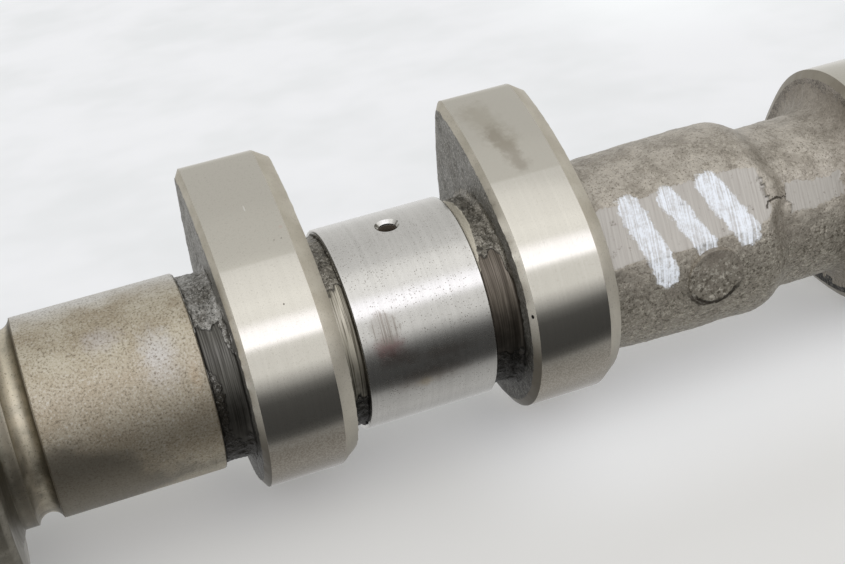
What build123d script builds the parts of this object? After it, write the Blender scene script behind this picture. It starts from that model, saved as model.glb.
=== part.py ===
from build123d import *
import math
import os

# One-piece cast-iron camshaft of a twin-cylinder engine, with two valves to a cylinder.
# +X runs along the shaft, away from the sprocket. The origin is on the shaft axis, at the
# face that the sprocket bolts against. +Z is up as the shaft lies at rest, on its flange and
# on one flank of each lobe of the far cylinder. All angles turn from +Y towards +Z.

os.makedirs("parts", exist_ok=True)

# ---- Sprocket end, turned (mm, degrees) ----
PILOT_RADIUS = 10.0
PILOT_LENGTH = 3.0
PILOT_CHAMFER = 0.6
FLANGE_RADIUS = 17.0
FLANGE_THICKNESS = 9.5
FLANGE_CHAMFER = 0.7
RELIEF_RADIUS = 13.5            # foot of the cone between the flange and the land
RELIEF_LENGTH = 0.8
LAND_LENGTH = 1.6
GROOVE_RADIUS = 1.45            # ring groove, turned with a round-nosed tool
GROOVE_DEPTH = 1.05
BOLT_CIRCLE_RADIUS = 13.0
BOLT_COUNT = 2
BOLT_DRILL_RADIUS = 2.5         # tapping size for M6
BOLT_DEPTH = 6.5
BOLT_CHAMFER = 0.5

# ---- Journals, ground ----
DRIVE_JOURNAL_RADIUS = 11.5
DRIVE_JOURNAL_LENGTH = 18.4
JOURNAL_RADIUS = 12.0
JOURNAL_LENGTH = 15.3
JOURNAL_CHAMFER = 0.3

# ---- Cam lobes, a ground three-arc profile between bevels left as cast ----
BASE_RADIUS = 15.0
NOSE_RADIUS = 2.5
NOSE_DISTANCE = 20.25           # from the shaft axis to the centre of the nose arc
FLANK_RADIUS = 45.0
LOBE_WIDTH = 8.6                # ground width
NEAR_BEVEL_DROP = 1.0           # bevel on the sprocket side
NEAR_BEVEL_WIDTH = 0.6
FAR_BEVEL_DROP = 2.2            # bevel on the side away from the sprocket
FAR_BEVEL_WIDTH = 2.1

# ---- Stations along the shaft, and timing ----
FIRST_CYLINDER = 57.45          # sprocket face to the first cylinder's centre line
CYLINDER_PITCH = 78.5
VALVE_PITCH = 32.0              # between the two lobes of one cylinder
CYLINDER_COUNT = 2
PHASE = 90.0                    # cam degrees from one cylinder's noses to the next one's
SETTLE = 1.5                    # how far past the base circle the far lobes come to rest

# ---- Cast body between the ground parts ----
DRIVE_NECK_RADIUS = 10.8
NECK_RADIUS = 11.2
NECK_FLARE = 0.8                # fillet where a neck meets a lobe
BARREL_START_RADIUS = 11.6
BARREL_RADIUS = 12.1
BARREL_SWELL = 11.0             # length over which the barrel grows to its full radius
BARREL_SWELL_ROUND = 30.0
BARREL_LENGTH = 21.2
SHOULDER_LENGTH = 2.7
SHOULDER_ROUND = 1.2
WAIST_RADIUS = 10.15
WAIST_FLARE = 3.2
PARTING_TURN = -6.0             # mould parting plane, from the far lobes' nose line
BARREL_FLAT = 11.4              # shaft axis to the flats where the parting flash is ground off
WAIST_FLAT = 9.85
GATE_RADIUS = 3.5               # stub of the casting gate, ground nearly flush
GATE_HEIGHT = 0.1
GATE_TURN = 36.0                # from the parting plane
GATE_STATION = 12.8             # from the start of the barrel

# ---- Free end ----
END_NECK_LENGTH = 2.6
END_RADIUS = 9.5
END_LENGTH = 3.6
END_CHAMFER = 0.8
CENTRE_HOLE_RADIUS = 1.25
CENTRE_HOLE_DEPTH = 5.0
CENTRE_CONE_RADIUS = 2.8        # 60 degree centre that the shaft is ground between

# ---- Oilways ----
GALLERY_RADIUS = 2.5
GALLERY_PAST_FEED = 5.0         # how far the blind gallery runs past the last feed hole
FEED_RADIUS = 1.05
FEED_CONE_RADIUS = 1.45
FEED_CONE_DEPTH = 0.45
FEED_TURN = 33.0                # feed holes, from the near lobes' nose line
PLUG_RADIUS = 3.5
PLUG_LENGTH = 5.0
PLUG_RECESS = 2.0
PLUG_CHAMFER = 0.4
DRILL_POINT = 118.0

# ---- Cam geometry that follows from the three radii ----
# Each flank arc touches the base circle and the nose arc from inside. Its centre, the shaft
# axis and the nose centre form a triangle with sides flank - base, flank - nose and the
# distance from axis to nose centre.
TO_BASE = FLANK_RADIUS - BASE_RADIUS
TO_NOSE = FLANK_RADIUS - NOSE_RADIUS
AT_AXIS = math.acos((TO_BASE**2 + NOSE_DISTANCE**2 - TO_NOSE**2) / (2 * TO_BASE * NOSE_DISTANCE))
FLANK_CENTRE = (TO_BASE * math.cos(AT_AXIS), TO_BASE * math.sin(AT_AXIS))
BASE_END = 180 - math.degrees(AT_AXIS)
NOSE_END = math.degrees(math.atan2(FLANK_CENTRE[1], NOSE_DISTANCE - FLANK_CENTRE[0]))

# ---- Angles about the shaft as it lies ----
FAR_NOSE = BASE_END - SETTLE - 90
NEAR_NOSE = FAR_NOSE + PHASE
NOSES = [NEAR_NOSE - PHASE * number for number in range(CYLINDER_COUNT)]
PARTING = FAR_NOSE + 180 + PARTING_TURN
FEED = NEAR_NOSE + FEED_TURN

# ---- Stations that follow from the sizes above ----
CYLINDERS = [FIRST_CYLINDER + CYLINDER_PITCH * number for number in range(CYLINDER_COUNT)]
NEAR_REACH = LOBE_WIDTH / 2 + NEAR_BEVEL_WIDTH
FAR_REACH = LOBE_WIDTH / 2 + FAR_BEVEL_WIDTH
LAND_START = FLANGE_THICKNESS + RELIEF_LENGTH
GROOVE_START = LAND_START + LAND_LENGTH
GROOVE_HALF = math.sqrt(GROOVE_RADIUS**2 - (GROOVE_RADIUS - GROOVE_DEPTH) ** 2)
DRIVE_START = GROOVE_START + 2 * GROOVE_HALF
DRIVE_END = DRIVE_START + DRIVE_JOURNAL_LENGTH
BARREL_START = CYLINDERS[0] + VALVE_PITCH / 2 + FAR_REACH
SHOULDER_START = BARREL_START + BARREL_LENGTH
WAIST_START = SHOULDER_START + SHOULDER_LENGTH
WAIST_END = CYLINDERS[1] - VALVE_PITCH / 2 - NEAR_REACH
LAST_LOBE_END = CYLINDERS[-1] + VALVE_PITCH / 2 + FAR_REACH
END_START = LAST_LOBE_END + END_NECK_LENGTH
SHAFT_END = END_START + END_LENGTH
PLUG_START = PLUG_RECESS - PILOT_LENGTH
PLUG_END = PLUG_START + PLUG_LENGTH
GALLERY_END = CYLINDERS[-1] + GALLERY_PAST_FEED


def polar(radius, degrees):
    return radius * math.cos(math.radians(degrees)), radius * math.sin(math.radians(degrees))


def turned(*stations):
    """A solid of revolution about the shaft axis through (x, radius) stations."""
    outline = Polyline((stations[0][0], 0), *stations, (stations[-1][0], 0), close=True)
    return revolve(make_face(outline), Axis.X)


def across(x, degrees):
    """A plane on the shaft axis whose normal points out of the shaft at that angle."""
    return Plane(origin=(x, 0, 0), x_dir=(1, 0, 0), z_dir=(0, *polar(1, degrees)))


def drilled(radius, start, end):
    """A blind drilling along +X, with the drill's point past its end."""
    point = radius / math.tan(math.radians(DRILL_POINT / 2))
    outline = Polyline((start, 0), (start, radius), (end, radius), (end + point, 0), close=True)
    return revolve(make_face(outline), Axis.X)


# ---- Sprocket end ----


def sprocket_end():
    """Pilot boss, bolting flange, relief cone and the land up to the drive journal."""
    body = turned(
        (-PILOT_LENGTH, PILOT_RADIUS - PILOT_CHAMFER),
        (-PILOT_LENGTH + PILOT_CHAMFER, PILOT_RADIUS),
        (0, PILOT_RADIUS),
        (0, FLANGE_RADIUS - FLANGE_CHAMFER),
        (FLANGE_CHAMFER, FLANGE_RADIUS),
        (FLANGE_THICKNESS - FLANGE_CHAMFER, FLANGE_RADIUS),
        (FLANGE_THICKNESS, FLANGE_RADIUS - FLANGE_CHAMFER),
        (FLANGE_THICKNESS, RELIEF_RADIUS),
        (LAND_START, DRIVE_JOURNAL_RADIUS),
        (DRIVE_START, DRIVE_JOURNAL_RADIUS),
    )
    groove_centre = DRIVE_JOURNAL_RADIUS - GROOVE_DEPTH + GROOVE_RADIUS
    groove = Pos(GROOVE_START + GROOVE_HALF, groove_centre) * Circle(GROOVE_RADIUS)
    body -= revolve(groove, Axis.X)
    for number in range(BOLT_COUNT):
        y, z = polar(BOLT_CIRCLE_RADIUS, NEAR_NOSE + 360 / BOLT_COUNT * number)
        hole = drilled(BOLT_DRILL_RADIUS, 0, BOLT_DEPTH)
        hole += turned((0, BOLT_DRILL_RADIUS + BOLT_CHAMFER), (BOLT_CHAMFER, BOLT_DRILL_RADIUS))
        body -= Pos(0, y, z) * hole
    return body


# ---- Ground parts ----


def journal(start, end, radius):
    return turned(
        (start, radius - JOURNAL_CHAMFER),
        (start + JOURNAL_CHAMFER, radius),
        (end - JOURNAL_CHAMFER, radius),
        (end, radius - JOURNAL_CHAMFER),
    )


def lobe_section(x, nose, drop=0.0):
    """The cam profile across the shaft at x, brought in by drop all round."""
    base_x, base_y = polar(BASE_RADIUS - drop, BASE_END)
    swing_x, swing_y = polar(FLANK_RADIUS - drop, (BASE_END + NOSE_END) / 2)
    flank_x, flank_y = FLANK_CENTRE[0] + swing_x, -FLANK_CENTRE[1] + swing_y
    nose_x, nose_y = polar(NOSE_RADIUS - drop, NOSE_END)
    nose_x += NOSE_DISTANCE
    tip = NOSE_DISTANCE + NOSE_RADIUS - drop
    outline = ThreePointArc((base_x, base_y), (drop - BASE_RADIUS, 0), (base_x, -base_y))
    outline += ThreePointArc((base_x, -base_y), (flank_x, -flank_y), (nose_x, -nose_y))
    outline += ThreePointArc((nose_x, -nose_y), (tip, 0), (nose_x, nose_y))
    outline += ThreePointArc((nose_x, nose_y), (flank_x, flank_y), (base_x, base_y))
    return Plane.YZ.offset(x) * Rot(Z=nose) * make_face(outline)


def lobe(centre, nose):
    """A lobe: its ground band between the narrow near bevel and the wide far one."""
    near, far = centre - LOBE_WIDTH / 2, centre + LOBE_WIDTH / 2
    near_face = lobe_section(near - NEAR_BEVEL_WIDTH, nose, NEAR_BEVEL_DROP)
    far_face = lobe_section(far + FAR_BEVEL_WIDTH, nose, FAR_BEVEL_DROP)
    band = extrude(lobe_section(near, nose), LOBE_WIDTH)
    near_bevel = loft([near_face, lobe_section(near, nose)], ruled=True)
    far_bevel = loft([lobe_section(far, nose), far_face], ruled=True)
    return band + near_bevel + far_bevel


# ---- Cast body ----


def flare(face, radius, size, side):
    """The fillet between a neck and a lobe's face; side is +1 where the neck runs to +X."""
    centre_x, centre_r = face + side * size, radius + size
    swing = size * math.sqrt(0.5)
    arc = ThreePointArc(
        (face, centre_r), (centre_x - side * swing, centre_r - swing), (centre_x, radius)
    )
    ring = make_face(arc + Polyline((centre_x, radius), (face, radius), (face, centre_r)))
    return revolve(ring, Axis.X)


def barrel():
    """The swelling barrel between the cylinders, its shoulder, and the waist beyond."""
    outline = FilletPolyline(
        (BARREL_START, BARREL_START_RADIUS),
        (BARREL_START + BARREL_SWELL, BARREL_RADIUS),
        (SHOULDER_START, BARREL_RADIUS),
        (WAIST_START, WAIST_RADIUS),
        (WAIST_END, WAIST_RADIUS),
        radius=[BARREL_SWELL_ROUND, SHOULDER_ROUND, SHOULDER_ROUND],
    )
    outline += Polyline(
        (WAIST_END, WAIST_RADIUS),
        (WAIST_END, 0),
        (BARREL_START, 0),
        (BARREL_START, BARREL_START_RADIUS),
    )
    body = revolve(make_face(outline), Axis.X)
    for start, end, flat in (
        (BARREL_START, SHOULDER_START, BARREL_FLAT),
        (SHOULDER_START, WAIST_END - WAIST_FLARE, WAIST_FLAT),
    ):
        for side in (0, 180):
            ground_off = Rectangle(end - start, 2 * BARREL_RADIUS)
            face = across((start + end) / 2, PARTING + side).offset(flat) * ground_off
            body -= extrude(face, BARREL_RADIUS - flat)
    gate = across(BARREL_START + GATE_STATION, PARTING + GATE_TURN) * Circle(GATE_RADIUS)
    return body + extrude(gate, BARREL_RADIUS + GATE_HEIGHT)


def cylinder_group(centre, nose):
    """Two lobes with the journal between them, and the cast necks that join them."""
    journal_start, journal_end = centre - JOURNAL_LENGTH / 2, centre + JOURNAL_LENGTH / 2
    first, second = centre - VALVE_PITCH / 2, centre + VALVE_PITCH / 2
    neck_start, neck_end = first + FAR_REACH, second - NEAR_REACH
    group = journal(journal_start, journal_end, JOURNAL_RADIUS)
    group += turned((neck_start, NECK_RADIUS), (neck_end, NECK_RADIUS))
    group += flare(neck_start, NECK_RADIUS, NECK_FLARE, 1)
    group += flare(neck_end, NECK_RADIUS, NECK_FLARE, -1)
    return group + lobe(first, nose) + lobe(second, nose)


def free_end():
    """The short cast neck and turned stub past the last lobe, with its 60 degree centre."""
    body = turned(
        (LAST_LOBE_END, WAIST_RADIUS),
        (END_START, WAIST_RADIUS),
        (END_START, END_RADIUS),
        (SHAFT_END - END_CHAMFER, END_RADIUS),
        (SHAFT_END, END_RADIUS - END_CHAMFER),
    )
    body += flare(LAST_LOBE_END, WAIST_RADIUS, NECK_FLARE, 1)
    cone = (CENTRE_CONE_RADIUS - CENTRE_HOLE_RADIUS) / math.tan(math.radians(30))
    body -= turned((SHAFT_END - cone, CENTRE_HOLE_RADIUS), (SHAFT_END, CENTRE_CONE_RADIUS))
    centre_hole = Plane.YZ.offset(SHAFT_END) * Circle(CENTRE_HOLE_RADIUS)
    return body - extrude(centre_hole, -CENTRE_HOLE_DEPTH)


# ---- Oilways ----


def oilways():
    """The blind axial gallery with its plug seat, and a countersunk feed to each journal."""
    ways = drilled(GALLERY_RADIUS, PLUG_END, GALLERY_END)
    ways += turned((-PILOT_LENGTH, PLUG_RADIUS), (PLUG_END, PLUG_RADIUS))
    for centre in CYLINDERS:
        ways += extrude(across(centre, FEED) * Circle(FEED_RADIUS), JOURNAL_RADIUS + 1)
        mouth = across(centre, FEED).offset(JOURNAL_RADIUS - FEED_CONE_DEPTH)
        ways += mouth * Cone(
            FEED_RADIUS,
            FEED_CONE_RADIUS,
            FEED_CONE_DEPTH,
            align=(Align.CENTER, Align.CENTER, Align.MIN),
        )
    return ways


# ---- The casting ----

camshaft = sprocket_end() + journal(DRIVE_START, DRIVE_END, DRIVE_JOURNAL_RADIUS)
first_lobe_face = CYLINDERS[0] - VALVE_PITCH / 2 - NEAR_REACH
camshaft += turned((DRIVE_END, DRIVE_NECK_RADIUS), (first_lobe_face, DRIVE_NECK_RADIUS))
camshaft += flare(first_lobe_face, DRIVE_NECK_RADIUS, NECK_FLARE, -1)
for cylinder_centre, nose_angle in zip(CYLINDERS, NOSES):
    camshaft += cylinder_group(cylinder_centre, nose_angle)
camshaft += barrel()
camshaft += flare(WAIST_END, WAIST_RADIUS, WAIST_FLARE, -1)
camshaft += free_end()
camshaft -= oilways()

# ---- The steel plug pressed into the mouth of the gallery ----

gallery_plug = turned(
    (PLUG_START, PLUG_RADIUS - PLUG_CHAMFER),
    (PLUG_START + PLUG_CHAMFER, PLUG_RADIUS),
    (PLUG_END - PLUG_CHAMFER, PLUG_RADIUS),
    (PLUG_END, PLUG_RADIUS - PLUG_CHAMFER),
)

export_step(camshaft, "parts/camshaft.step")
export_step(gallery_plug, "parts/gallery_plug.step")
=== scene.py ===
"""Visual model of a cast-iron camshaft: its casting, its ground parts and a pale studio.

Lengths are written in millimetres and angles in degrees, turning from +Y towards +Z, and
become metres and radians only where they reach Blender.
"""

from __future__ import annotations

import logging
import math
from dataclasses import dataclass
from enum import IntEnum
from itertools import pairwise
from typing import Callable, ClassVar, Iterable, Mapping, Optional, Sequence, Union

import bpy
from mathutils import Matrix, Vector, noise

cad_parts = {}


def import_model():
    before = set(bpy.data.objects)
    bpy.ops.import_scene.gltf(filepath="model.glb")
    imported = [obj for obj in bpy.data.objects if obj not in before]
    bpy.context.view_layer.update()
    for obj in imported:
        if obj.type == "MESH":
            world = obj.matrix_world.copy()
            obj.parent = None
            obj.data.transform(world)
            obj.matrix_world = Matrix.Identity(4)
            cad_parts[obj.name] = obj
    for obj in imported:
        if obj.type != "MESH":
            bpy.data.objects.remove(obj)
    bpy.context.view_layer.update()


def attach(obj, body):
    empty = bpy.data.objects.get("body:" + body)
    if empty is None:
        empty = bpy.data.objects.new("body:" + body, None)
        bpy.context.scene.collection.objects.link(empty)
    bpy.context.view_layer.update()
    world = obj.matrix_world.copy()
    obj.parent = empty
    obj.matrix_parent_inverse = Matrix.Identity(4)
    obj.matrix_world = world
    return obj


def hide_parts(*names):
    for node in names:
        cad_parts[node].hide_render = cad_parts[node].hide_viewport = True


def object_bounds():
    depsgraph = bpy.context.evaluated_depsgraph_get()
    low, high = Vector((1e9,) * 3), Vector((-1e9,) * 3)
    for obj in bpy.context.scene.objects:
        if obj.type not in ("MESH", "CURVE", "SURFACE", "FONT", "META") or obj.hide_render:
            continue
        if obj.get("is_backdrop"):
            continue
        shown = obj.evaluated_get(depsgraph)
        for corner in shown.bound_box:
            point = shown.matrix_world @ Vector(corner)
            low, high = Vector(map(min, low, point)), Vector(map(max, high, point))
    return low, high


log = logging.getLogger("camshaft")

MM = 0.001
# vertices closer than this, in metres, are one vertex
WELD = 1e-7
# how many steps a displacement's weight has from 0 to 1
WEIGHT_LEVELS = 20
# edges flatter than this angle are shaded smooth
SMOOTH_BELOW = 32.0
# how far below a cast part's least radius its hidden ends keep their rings
END_DEPTH = 0.4
# a round smaller than this has the fewer steps of the two
SMALL_ROUND = 0.5
ROUND_STEPS = (4, 9)
NODE_CASTING = "camshaft"
NODE_PLUG = "gallery_plug"
BODY = "root"

Point = tuple[float, float]
Piece = bpy.types.Object
Value = Union[float, tuple, Vector, "Signal"]
Feeds = dict[str, Value]


# ---------------------------------------------------------------- sizes of the shaft


@dataclass(frozen=True)
class CamProfile:
    """The three-arc cam: a base circle and a nose arc joined by two flank arcs."""

    base: float = 15.0
    nose: float = 2.5
    nose_distance: float = 20.25
    flank: float = 45.0

    @property
    def _at_axis(self) -> float:
        """Angle at the shaft axis between the nose line and a flank's centre.

        Returns:
            The angle in radians.
        """
        to_base, to_nose = self.flank - self.base, self.flank - self.nose
        cosine = to_base**2 + self.nose_distance**2 - to_nose**2
        return math.acos(cosine / (2 * to_base * self.nose_distance))

    @property
    def flank_centre(self) -> Point:
        """Centre of the flank arc that lies above the nose line."""
        reach = self.flank - self.base
        return reach * math.cos(self._at_axis), reach * math.sin(self._at_axis)

    @property
    def base_end(self) -> float:
        """Where the base circle runs into a flank, from the nose line."""
        return 180 - math.degrees(self._at_axis)

    @property
    def nose_end(self) -> float:
        """Where the nose arc runs into a flank, from the nose line."""
        y, z = self.flank_centre
        return math.degrees(math.atan2(z, self.nose_distance - y))


@dataclass(frozen=True)
class ShaftPlan:
    """Stations along the shaft and angles about it, shared by its parts."""

    lobe_width: float = 8.6
    near_drop: float = 1.0
    near_width: float = 0.6
    far_drop: float = 1.25
    far_width: float = 1.85
    first_cylinder: float = 57.45
    cylinder_pitch: float = 78.5
    valve_pitch: float = 32.0
    journal_length: float = 15.3
    drive_start: float = 14.6859
    drive_length: float = 18.4
    phase: float = 90.0
    settle: float = 1.5
    parting_turn: float = -6.0
    feed_turn: float = 33.0
    gate_turn: float = 36.0
    gate_at: float = 92.65

    @property
    def cylinders(self) -> tuple[float, float]:
        """Centre lines of the two cylinders."""
        return self.first_cylinder, self.first_cylinder + self.cylinder_pitch

    @property
    def noses(self) -> tuple[float, float]:
        """Nose angles of the near and the far pair of lobes."""
        far = CamProfile().base_end - self.settle - 90
        return far + self.phase, far

    @property
    def parting(self) -> float:
        """Angle of the mould's parting plane on the side of the painted flat."""
        return self.noses[1] + 180 + self.parting_turn

    @property
    def feed(self) -> float:
        """Angle of the oil feed holes."""
        return self.noses[0] + self.feed_turn

    def lobe_centres(self, cylinder: int) -> tuple[float, float]:
        """Centres of the two lobes of one cylinder."""
        centre = self.cylinders[cylinder]
        return centre - self.valve_pitch / 2, centre + self.valve_pitch / 2

    def lobe_faces(self, centre: float) -> tuple[float, float]:
        """The near and far cheeks of the lobe at a centre."""
        half = self.lobe_width / 2
        return centre - half - self.near_width, centre + half + self.far_width

    def journal_ends(self, cylinder: int) -> tuple[float, float]:
        """Both ends of the journal between one cylinder's lobes."""
        centre = self.cylinders[cylinder]
        return centre - self.journal_length / 2, centre + self.journal_length / 2


PLAN = ShaftPlan()
CAM = CamProfile()


def polar(radius: float, turn: float) -> Point:
    """The (y, z) of a point at that radius and turn about the shaft."""
    return radius * math.cos(math.radians(turn)), radius * math.sin(math.radians(turn))


# ---------------------------------------------------------------- the modelling bench


def focus(piece: Piece) -> None:
    """Selects the piece alone and makes it active.

    Args:
        piece: a closed object.
    """
    bpy.ops.object.select_all(action="DESELECT")
    piece.select_set(True)
    bpy.context.view_layer.objects.active = piece


def edit(pick: str, action: str = "SELECT") -> None:
    """Opens the active piece for editing, with all its vertices, edges or faces selected or not.

    Args:
        pick: VERT, EDGE or FACE.
        action: SELECT or DESELECT.
    """
    bpy.ops.object.mode_set(mode="EDIT")
    bpy.ops.mesh.select_mode(type=pick)
    bpy.ops.mesh.select_all(action=action)


def close() -> None:
    """Puts the active piece back in object mode."""
    bpy.ops.object.mode_set(mode="OBJECT")


def extrude(step: Vector) -> None:
    """Extrudes the selected faces by a step in metres."""
    bpy.ops.mesh.extrude_region_move(TRANSFORM_OT_translate={"value": step})


def start_piece(name: str, place: Sequence[float]) -> Piece:
    """Opens a new mesh as one selected vertex, in edit mode.

    Args:
        name: the piece's name.
        place: where the vertex is, in millimetres.

    Returns:
        The new object, at the origin.
    """
    bpy.ops.object.select_all(action="DESELECT")
    bpy.ops.mesh.primitive_plane_add(size=MM, location=(0, 0, 0))
    piece = bpy.context.object
    piece.name = name
    piece.data.name = name
    edit("VERT")
    bpy.ops.mesh.merge(type="CENTER")
    bpy.ops.transform.translate(value=Vector(place) * MM)
    return piece


def pose_piece(piece: Piece, pose: Matrix) -> None:
    """Moves and turns the piece by a pose and puts the move in its mesh.

    Args:
        piece: the closed object.
        pose: how it moves, in metres.
    """
    focus(piece)
    piece.matrix_world = pose
    bpy.ops.object.transform_apply(location=True, rotation=True, scale=True)


def about_shaft(turn: float) -> Matrix:
    """The pose that turns a piece about the shaft."""
    return Matrix.Rotation(math.radians(turn), 4, "X")


def weld() -> None:
    """Merges doubled vertices and turns every face outwards."""
    bpy.ops.mesh.select_all(action="SELECT")
    bpy.ops.mesh.remove_doubles(threshold=WELD)
    bpy.ops.mesh.normals_make_consistent(inside=False)


def fillet(corner: Point, before: Point, after: Point, size: float, steps: int) -> list[Point]:
    """Points of a rounded corner, tangent to both of its sides.

    Args:
        corner: the sharp corner, as (x, radius).
        before: the outline's point before it.
        after: the outline's point after it.
        size: how far from the corner the round starts.
        steps: how many pieces the round has.

    Returns:
        The round's points in order.
    """
    here = Vector(corner)
    back = (Vector(before) - here).normalized() * size
    on = (Vector(after) - here).normalized() * size
    shares = [step / steps for step in range(steps + 1)]
    return [tuple(here + back * (1 - share) ** 2 + on * share**2) for share in shares]


def outline_of(corners: Sequence[tuple], step: float = 0.0) -> list[Point]:
    """Turns corners into a lathe outline.

    Args:
        corners: each is (x, radius) or (x, radius, round), the round in millimetres.
        step: the longest edge left in the outline, or 0 to leave edges whole.

    Returns:
        The outline's points as (x, radius).
    """
    points: list[Point] = []
    for index, corner in enumerate(corners):
        place = corner[:2]
        if len(corner) > 2:
            size = corner[2]
            steps = ROUND_STEPS[size >= SMALL_ROUND]
            points += fillet(place, corners[index - 1][:2], corners[index + 1][:2], size, steps)
        else:
            points.append(place)
    if not step:
        return points
    fine = [points[0]]
    for (x0, r0), (x1, r1) in pairwise(points):
        cuts = max(1, round(math.hypot(x1 - x0, r1 - r0) / step))
        fine += [(x0 + (x1 - x0) * i / cuts, r0 + (r1 - r0) * i / cuts) for i in range(1, cuts + 1)]
    return fine


def hidden_end(x: float, into: float, radius: float) -> list[Point]:
    """The corners of an end that stands hidden inside the next part, from the axis outwards."""
    return [(x + into, 0), (x + into, radius), (x, radius)]


def turn_piece(
    name: str, corners: Sequence[tuple], divisions: int, step: float = 0.0, least: float = 0.0
) -> Piece:
    """Draws an outline edge by edge and spins it once about the shaft, as on a lathe.

    Args:
        name: the piece's name.
        corners: what outline_of takes, starting and ending on the axis.
        divisions: how many faces go round the piece.
        step: the longest edge of the outline, or 0 to leave edges whole.
        least: the smallest radius of the outline's points, apart from those on the axis.

    Returns:
        The closed piece.
    """
    outline = [p for p in outline_of(corners, step) if p[1] >= least or p[1] == 0]
    piece = start_piece(name, (*outline[0], 0))
    for (x0, r0), (x1, r1) in pairwise(outline):
        edge = Vector((x1 - x0, r1 - r0, 0)) * MM
        bpy.ops.mesh.extrude_vertices_move(TRANSFORM_OT_translate={"value": edge})
    bpy.ops.mesh.select_all(action="SELECT")
    bpy.ops.mesh.spin(steps=divisions, angle=math.tau, center=(0, 0, 0), axis=(1, 0, 0))
    weld()
    close()
    return piece


def pick_vertices(piece: Piece, wanted: Callable[[Vector], bool]) -> list[int]:
    """Opens the piece in edit mode with some of its vertices selected.

    Args:
        piece: the closed object, which is the active one.
        wanted: says for a vertex's place, in millimetres, whether to select it.

    Returns:
        The numbers of the selected vertices.
    """
    edit("VERT", "DESELECT")
    close()
    for vertex in piece.data.vertices:
        vertex.select = wanted(vertex.co / MM)
    picked = [vertex.index for vertex in piece.data.vertices if vertex.select]
    bpy.ops.object.mode_set(mode="EDIT")
    return picked


def apply_modifier(piece: Piece, kind: str, **settings: object) -> None:
    """Gives the piece a modifier and applies it at once.

    Args:
        piece: the closed object.
        kind: the modifier's type.
        settings: the modifier's own properties.
    """
    focus(piece)
    bpy.ops.object.modifier_add(type=kind)
    modifier = piece.modifiers[-1]
    for name, value in settings.items():
        setattr(modifier, name, value)
    bpy.ops.object.modifier_apply(modifier=modifier.name)


def cut_with(piece: Piece, tool: Piece) -> None:
    """Cuts the tool's shape out of the piece and removes the tool."""
    apply_modifier(piece, "BOOLEAN", operation="DIFFERENCE", solver="EXACT", object=tool)
    bpy.data.objects.remove(tool)


def everywhere(_: Vector) -> float:
    """The weight of a surface that is as cast all over."""
    return 1.0


@dataclass(frozen=True)
class Lumps:
    """One layer of the unevenness that a mould leaves."""

    height: float
    grain: float
    depth: int = 2
    middle: float = 0.5

    def raise_on(self, piece: Piece, weight: Callable[[Vector], float]) -> None:
        """Displaces the surface by a cloud pattern where the weight allows it.

        Args:
            piece: the closed object.
            weight: gives 0 to 1 for a vertex's place, in millimetres.
        """
        levels: dict[int, list[int]] = {}
        for vertex in piece.data.vertices:
            level = round(weight(vertex.co / MM) * WEIGHT_LEVELS)
            levels.setdefault(level, []).append(vertex.index)
        group = piece.vertex_groups.new(name=f"lumps_{self.grain}")
        for level, members in levels.items():
            group.add(members, level / WEIGHT_LEVELS, "REPLACE")
        clouds = bpy.data.textures.new(group.name, type="CLOUDS")
        clouds.noise_scale = self.grain * MM
        clouds.noise_depth = self.depth
        apply_modifier(
            piece,
            "DISPLACE",
            texture=clouds,
            texture_coords="LOCAL",
            vertex_group=group.name,
            strength=self.height * MM,
            mid_level=self.middle,
        )


def roughen(
    piece: Piece, layers: Iterable[Lumps], weight: Callable[[Vector], float] = everywhere
) -> None:
    """Raises each layer of a mould's unevenness where the weight allows it."""
    for layer in layers:
        layer.raise_on(piece, weight)


def store(piece: Piece, name: str, value: Callable[[Vector], float]) -> None:
    """Keeps a value on each vertex, for the piece's finish to read.

    Args:
        piece: the closed object.
        name: what the finish knows the value by.
        value: gives it for a vertex's place, in millimetres.
    """
    held = piece.data.attributes.new(name, "FLOAT", "POINT")
    for vertex, item in zip(piece.data.vertices, held.data):
        item.value = value(vertex.co / MM)


def soft_step(value: float, low: float, high: float) -> float:
    """Rises smoothly from 0 at low to 1 at high."""
    share = min(1.0, max(0.0, (value - low) / (high - low)))
    return share * share * (3 - 2 * share)


def turn_of(place: Vector) -> float:
    """The turn of a place about the shaft, from 0 to 360."""
    return math.degrees(math.atan2(place.z, place.y)) % 360


def turn_between(turn: float, other: float) -> float:
    """How far one turn is from another, without its sign, up to 180."""
    return abs((turn - other + 180) % 360 - 180)


def within(turn: float, middle: float, half: float, fade: float) -> float:
    """1 inside a sector about the shaft, fading to 0 past its edges."""
    return 1 - soft_step(turn_between(turn, middle), half - fade / 2, half + fade / 2)


def ragged(place: Vector, grain: float) -> float:
    """A repeatable uneven value between about -1 and 1 at a place."""
    return noise.noise(place / grain)


# ---------------------------------------------------------------- wiring of materials


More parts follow.
